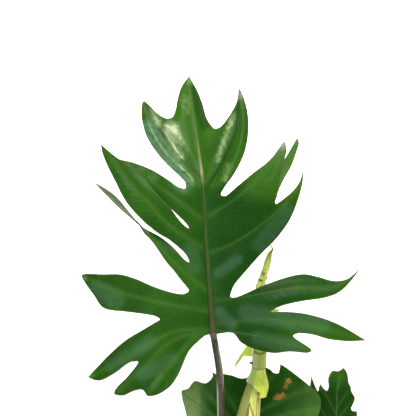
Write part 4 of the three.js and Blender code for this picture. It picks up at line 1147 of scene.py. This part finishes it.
# Browned lines and edges on the sheaths, as (degrees, height)
BROWN_LINES = {
    "lower_sheath": [[(-12, 271), (0, 268.5), (14, 266.5), (30, 263)],
                     [(23, 265.6), (37, 259.6), (49, 252.6), (52, 244)],
                     [(-12, 251), (-16, 243), (-22, 228), (-26, 205)],
                     [(-8, 251), (8, 244), (26, 236), (36, 222)], [(34, 256), (40, 240), (38, 215)]],
    "skirt_sheath": [[(-2, 268.4), (12, 266.4), (26, 264)]],
    "collar_sheath": [[(-60, 306), (0, 304.2), (60, 305.4)]],
}
BROWN_WIDTH = 1.1
# Painted highlight spots on the skirt, as (degrees, height, size)
SKIRT_GLINTS = [(6, 284, 0.8), (21, 281.5, 1.3), (24, 279.6, 0.9)]


def stepped(corners, longest):
    """The straight-sided outline through some corners, in short steps."""
    made = []
    for a, b in zip(corners, corners[1:] + corners[:1]):
        pieces = max(1, round((b - a).length / longest))
        made += [a.lerp(b, k / pieces) for k in range(pieces)]
    return made


def nowhere(p):
    """No mark at any place."""
    return 0.0


def sheet_piece(name, outline, place, inner, material, bruise_at=nowhere, dim_at=nowhere, glint_spots=()):
    """A thin sheath or flap cut to an outline and laid on a surface."""
    margin = finder(outline)
    bm = filled_sheet(outline, inner)
    rim, bruise, dim, wet = layers(bm, "rim", "bruise", "dim", "wet")
    for v in bm.verts:
        v[rim] = margin(v.co)[2]
        v[bruise] = bruise_at(v.co)
        v[dim] = dim_at(v.co)
        # Painted highlight spots
        v[wet] = max((smooth(1.6 - math.hypot(v.co.x - degrees * DEGREE, v.co.y - z) / size)
                      for degrees, z, size in glint_spots), default=0.0)
        v.co = place(v.co.x, v.co.y)
    thickened(bm, SHEATH)
    finished(name, bm, name, [material, material])


def rolled(radius_at):
    """The function that rolls a flat sheath round the stem."""
    def place(flat, z):
        angle = math.radians(flat / DEGREE)
        radius = radius_at(z, angle)
        return stem_centre(z) + Vector((math.sin(angle) * radius, -math.cos(angle) * radius, 0))
    return place


def over_stem(z, angle):
    """Radius of a close sheath, with its fine folds."""
    slack = 0.5
    fibre = 0.10 * math.sin(angle * 23) + 0.08 * math.sin(angle * 41 + 1)
    return ramp(STEM_RADIUS, z) + GAP + SHEATH / 2 + slack + fibre


def skirt_radius(z, angle):
    """Radius of the skirt, which flares from its top and stands off more on the right."""
    top = 288
    flare = smooth((top - z) / 24)
    pleat = 0.18 * math.sin(angle * 17) * flare
    return ramp(STEM_RADIUS, top) + 1 + flare * (5.5 + 2 * math.sin(angle)) + pleat


def browned(lines):
    """The function that says how brown a place near these lines is."""
    flat = [[Vector((degrees * DEGREE, z)) for degrees, z in line] for line in lines]
    pieces = [piece for line in flat for piece in zip(line, line[1:])]

    def bruise_at(co):
        p = Vector((co.x, co.y))
        near = min(off_segment(*piece, p) for piece in pieces)
        return 0.95 * smooth(1.5 - near / BROWN_WIDTH)
    return bruise_at


def left_dimmed(co):
    """The sheaths are greyer on the left of the front."""
    return 0.75 * smooth((-8 - co.x / DEGREE) / 14)


for sheath_name, corners, radius_at, skin, glint_spots in (
        ("lower_sheath", LOWER_SHEATH, over_stem, SHEATH_SKIN, ()),
        ("skirt_sheath", SKIRT, skirt_radius, SKIRT_SKIN, SKIRT_GLINTS),
        ("collar_sheath", COLLAR, over_stem, COLLAR_SKIN, ())):
    flat = stepped([Vector((degrees * DEGREE, z)) for degrees, z in corners], 1.8)
    brown = browned(BROWN_LINES[sheath_name])
    sheet_piece(sheath_name, flat, rolled(radius_at), 1.2, skin, brown, left_dimmed, glint_spots)

# A dry bud scar on the left of the skirt
BUD_SCAR = [(25.2, -1.5, 293), (23.6, -1.6, 293.2), (22.2, -1.7, 293.6), (21.2, -1.7, 293.7)]
bm = tube([Vector(p) for p in BUD_SCAR], lambda t: 1.5 - 0.6 * t * t, 12,
          lambda angle, t: 1 + 0.12 * math.sin(3 * angle + 5 * t))
finished("bud_scar", bm, "skirt_sheath", [JOINT])

# The flaps lie flat, as (to the right, height), and lean a little to the front or the back
LEFT_FLAP = [(24.1, 300.5), (19.5, 300.8), (15, 301.6), (11.4, 296), (5.6, 288.6), (6.4, 293.8),
             (11.2, 302.2), (15.4, 308.5), (19.5, 315), (26.1, 318), (26.1, 308.7), (24.1, 308.7)]
RIGHT_FLAP = [(37.7, 333), (42, 338), (47, 345.5), (53, 350.4), (46, 351.2), (40, 350), (37.7, 348)]
for flap_name, corners, place in (
        ("left_flap", LEFT_FLAP, lambda x, z: Vector((x, -2 - 0.1 * (26 - x), z))),
        ("right_flap", RIGHT_FLAP, lambda x, z: Vector((x, 0.12 * (x - 37), z)))):
    sheet_piece(flap_name, stepped([Vector(p) for p in corners], 1.5), place, 2, FLAP_SKIN)

SHOOT_AXIS = [(31.8, 0, 303.4), (32, 0, 325), (31.8, 0, 348), (32.1, 0, 374), (35.9, 0, 388),
              (38.9, 0, 401.6), (42, 0, 411), (44, 0, 415), (43.4, 0, 417.6), (41.2, 0, 419.4)]
SHOOT_RADIUS = [(0, 5.5), (0.35, 5.4), (0.56, 5.5), (0.64, 4.6), (0.7, 4.2), (0.76, 3.6), (0.84, 3.5),
                (0.9, 2.6), (0.95, 1.1), (1, 0.5)]
SHOOT_SPOTS = [((35, -4, 390), 1.1), ((36.5, -4, 394), 0.8), ((31, -5, 384), 1.2), ((33, -5, 383), 1.0),
               ((28, -5, 382), 1.5), ((32, -5, 376), 0.9)]
SHOOT_TIP = 412


def wrapped(angle, share):
    """The rolled leaf's free edge winds up the shoot, with small folds across it."""
    seam = (angle / (2 * math.pi) - 1.3 * share + 0.35) % 1.0
    waves = math.sin(share * 61 + 2 * math.sin(angle) + 3 * math.sin(share * 19))
    folds = 0.11 * waves * smooth((share - 0.5) / 0.1)
    return 0.92 + 0.16 * (1 - seam) * smooth(seam / 0.06) + folds


def make_shoot():
    """The rolled new leaf, with dark spots and a browned tip."""
    bm = tube(fine_path(SHOOT_AXIS, 2), lambda t: ramp(SHOOT_RADIUS, t), 28, wrapped)
    rim, bruise, dim, wet = layers(bm, "rim", "bruise", "dim", "wet")
    for v in bm.verts:
        v[rim] = 9.0
        v[wet] = 0.0
        v[bruise] = 0.9 * smooth((v.co.z - SHOOT_TIP) / 4)
        v[dim] = max(smooth(2 - (v.co - Vector(at)).length / size) for at, size in SHOOT_SPOTS)
    finished("new_shoot", bm, "new_shoot", [SHOOT_SKIN])


make_shoot()


# Pot and potting mix

# The pot's outer radii at its foot, its neck and its rim, and its other sizes
FOOT = 58
RIM = 85
NECK = RIM - 6
HEIGHT = 150
WALL = 2.5
FLOOR = 3
LOW = HEIGHT - 24  # where the rim's broad band starts
DRAIN = {"count": 6, "radius": 4.5, "circle": 42}
PLATE_EDGE = FOOT - 9  # where the floor's plate meets the wall's foot
SOIL_TOP = 138
SOIL_EDGE = SOIL_TOP - 3
CHIPS = 420


def lathed(profile, sides, closed):
    """Spins a profile of (radius, height) round the upright axis."""
    bm = bmesh.new()
    verts = [bm.verts.new((r, 0, z)) for r, z in profile]
    edges = [bm.edges.new(pair) for pair in zip(verts, verts[1:])]
    if closed:
        edges.append(bm.edges.new((verts[-1], verts[0])))
    bmesh.ops.spin(bm, geom=verts + edges, cent=(0, 0, 0), axis=(0, 0, 1), angle=2 * math.pi, steps=sides,
                   use_merge=True)
    bmesh.ops.remove_doubles(bm, verts=bm.verts[:], dist=1e-4)
    bmesh.ops.recalc_face_normals(bm, faces=bm.faces[:])
    return bm


def pot_inside(z):
    """Radius of the pot's inside at a height."""
    return ramp([(FLOOR, FOOT - WALL), (LOW - 4, NECK - WALL), (HEIGHT - 2, RIM - 4)], z)


def make_wall():
    """The pot's wall with its broad rim."""
    profile = [(PLATE_EDGE, 0), (FOOT - 3, 0), (FOOT - 1, 0.5), (FOOT, 2), (NECK, LOW), (RIM - 3, LOW + 0.3),
               (RIM - 2, LOW + 1), (RIM - 1, LOW + 3), (RIM - 0.4, HEIGHT - 4), (RIM, HEIGHT - 2.5),
               (RIM - 0.2, HEIGHT - 1), (RIM - 1, HEIGHT), (RIM - 2.8, HEIGHT), (RIM - 3.6, HEIGHT - 1),
               (RIM - 4, HEIGHT - 2), (NECK - WALL, LOW - 4), (FOOT - WALL, FLOOR), (PLATE_EDGE, FLOOR)]
    bm = lathed(profile, 128, closed=True)
    mark_sharp(bm, 40)
    finished("pot_wall", bm, "pot", [POT_SKIN])


def make_plate():
    """The pot's floor with its drain holes."""
    plate = bmesh.new()
    bmesh.ops.create_circle(plate, cap_ends=False, radius=PLATE_EDGE + 0.3, segments=96)
    for i in range(DRAIN["count"]):
        angle = 2 * math.pi * i / DRAIN["count"]
        spot = Matrix.Translation((DRAIN["circle"] * math.cos(angle), DRAIN["circle"] * math.sin(angle), 0))
        bmesh.ops.create_circle(plate, cap_ends=False, radius=DRAIN["radius"], segments=24, matrix=spot)
    flat = {"use_beauty": True, "use_dissolve": False, "normal": (0, 0, 1)}
    bmesh.ops.triangle_fill(plate, edges=plate.edges[:], **flat)
    raised = bmesh.ops.extrude_face_region(plate, geom=plate.faces[:], use_keep_orig=True)["geom"]
    sunk = 0.01  # keeps the plate's faces off the wall's
    bmesh.ops.translate(plate, vec=(0, 0, FLOOR - 2 * sunk), verts=verts_in(raised))
    bmesh.ops.translate(plate, vec=(0, 0, sunk), verts=plate.verts[:])
    bmesh.ops.recalc_face_normals(plate, faces=plate.faces[:])
    mark_sharp(plate, 40)
    finished("pot_floor", plate, "pot", [POT_SKIN])


def mix_height(x, y):
    """The potting mix's uneven top, in mm."""
    edge = pot_inside(SOIL_EDGE) - GAP
    out = math.hypot(x, y)
    heap = ramp([(0, 2), (0.2, 2), (0.38, 1.2), (0.58, -0.8), (0.78, 0.5), (0.97, -2.5), (1, -3)], out / edge)
    swell = math.sin(x * 0.21 + 1) * math.cos(y * 0.17) + math.sin(x * 0.08 - y * 0.11)
    return SOIL_TOP + heap + 1.4 * smooth((edge - out) / 12) * swell


def make_mix():
    """The body of potting mix, with a rough top."""
    edge = pot_inside(SOIL_EDGE) - GAP
    foot = FLOOR + GAP
    bend = LOW - 4
    rings = 34
    profile = [(0, foot), (pot_inside(foot) - GAP, foot), (pot_inside(bend) - GAP, bend), (edge, SOIL_EDGE)]
    profile += [(edge * (1 - k / rings), SOIL_TOP) for k in range(1, rings)] + [(0, SOIL_TOP)]
    bm = lathed(profile, 110, closed=False)
    rough = random.Random(5)
    for v in bm.verts:
        if v.co.z > SOIL_TOP - 0.5:
            v.co.x += rough.uniform(-0.7, 0.7)
            v.co.y += rough.uniform(-0.7, 0.7)
            v.co.z = mix_height(v.co.x, v.co.y) + rough.uniform(-1.0, 0.3)
    bmesh.ops.recalc_face_normals(bm, faces=bm.faces[:])
    finished("potting_mix", bm, "potting_mix", [MIX_SKIN])


def make_chips():
    """Bark chips and a few pale grains lying on the potting mix, clear of the stem and the roots."""
    draw = random.Random(11)
    bm = bmesh.new()
    tone = bm.verts.layers.float.new("tone")
    edge = pot_inside(SOIL_TOP) - 5
    bare = [(1, 0, 13)] + [(*root[3][:2], 5) for root in ROOTS]  # each place as (x, y, radius)
    for _ in range(CHIPS):
        out, way = edge * math.sqrt(draw.random()), draw.uniform(0, 2 * math.pi)
        pale = draw.random() < 0.14
        x, y = out * math.cos(way), out * math.sin(way)
        if any(math.hypot(x - a, y - b) < radius for a, b, radius in bare):
            continue
        size = draw.uniform(0.9, 1.7) if pale else draw.uniform(1.4, 4.2)
        flat = 0.8 if pale else draw.uniform(0.28, 0.5)
        shape = Matrix.Diagonal((size, size * draw.uniform(0.5, 0.9), size * flat, 1))
        spin = Matrix.Rotation(draw.uniform(0, 6.3), 4, "Z")
        spin @= Matrix.Rotation(draw.uniform(-0.5, 0.5), 4, "X")
        at = Matrix.Translation((x, y, mix_height(x, y) + size * flat * 0.2))
        chip = bmesh.ops.create_icosphere(bm, subdivisions=1, radius=1, matrix=at @ spin @ shape)["verts"]
        shade = draw.uniform(0.95, 1.0) if pale else draw.uniform(0.0, 0.85)
        for v in chip:
            v[tone] = shade
            v.co += Vector([draw.uniform(-0.16, 0.16) * size for _ in range(3)])
    finished("bark_chips", bm, "potting_mix", [BARK_SKIN], smooth_faces=False)


make_wall()
make_plate()
make_mix()
make_chips()


# Floor, light and camera

def make_stage():
    """A pale floor that curves up into a plain wall."""
    front, back, bend, top, half_width = -6, 3.2, 2, 9, 9
    curve = [math.pi / 2 * k / 16 for k in range(1, 17)]
    profile = [(front, 0), (back, 0)]
    profile += [(back + bend * math.sin(a), bend - bend * math.cos(a)) for a in curve] + [(back + bend, top)]
    bm = bmesh.new()
    verts = [bm.verts.new((-half_width, y, z - 0.0005)) for y, z in profile]
    edges = [bm.edges.new(pair) for pair in zip(verts, verts[1:])]
    made = bmesh.ops.extrude_edge_only(bm, edges=edges)["geom"]
    bmesh.ops.translate(bm, vec=(2 * half_width, 0, 0), verts=verts_in(made))
    f = Finish("floor")
    f.set(Base_Color=f.mix(f.noise(3, 2), (0.86, 0.86, 0.86), (0.9, 0.9, 0.9)), Roughness=0.9)
    floor = meshed("floor", bm, [f.material])


def aimed(thing, place, way):
    """Sets a light or the camera at a place, looking a way."""
    thing.location = place
    thing.rotation_euler = Vector(way).to_track_quat("-Z", "Y").to_euler()


def area_light(name, place, aim, size, power, colour=(1, 1, 1)):
    """A round soft light at a place, turned to an aim."""
    data = bpy.data.lights.new(name, "AREA")
    data.shape = "DISK"
    data.size, data.energy, data.color = size, power, colour
    aimed(linked(name, data), place, Vector(aim) - Vector(place))


def make_camera():
    """Twelve degrees above level, 1.2 m in front of the large leaf."""
    picture = 416  # mm across at the large leaf
    centre = Vector((-22, -19, 462.3)) * MM
    view = Vector((0, math.cos(LEAN_BACK), -math.sin(LEAN_BACK)))
    data = bpy.data.cameras.new("camera")
    data.sensor_width = 36
    data.lens = data.sensor_width * SIGHT / picture
    camera = linked("camera", data)
    aimed(camera, centre - view * SIGHT * MM, view)
    bpy.context.scene.camera = camera


def make_studio():
    """A dim cool surround, a warm key light, a cool fill, a top light and two lights on the wall."""
    world = bpy.data.worlds.new("studio")
    bpy.context.scene.world = world
    world.use_nodes = True
    surround = world.node_tree.nodes["Background"].inputs
    surround["Color"].default_value = (0.93, 0.97, 1, 1)
    surround["Strength"].default_value = 0.32
    area_light("key", (0.5, -1.35, 2.25), (-0.02, 0, 0.42), 0.6, 52, (1.0, 0.97, 0.88))
    area_light("fill", (-0.9, -2.0, 0.85), (0, 0, 0.45), 0.6, 9.5, (0.75, 0.9, 1.0))
    area_light("top", (0.2, 0.9, 2.4), (0, 0, 0.4), 1.4, 20)
    for side in (-1.6, 1.6):
        area_light("backdrop", (side, 2.4, 3.2), (side * 0.6, 5.2, 0.8), 2.4, 230)


make_stage()
make_camera()
make_studio()
bpy.context.scene.view_settings.view_transform = "Standard"
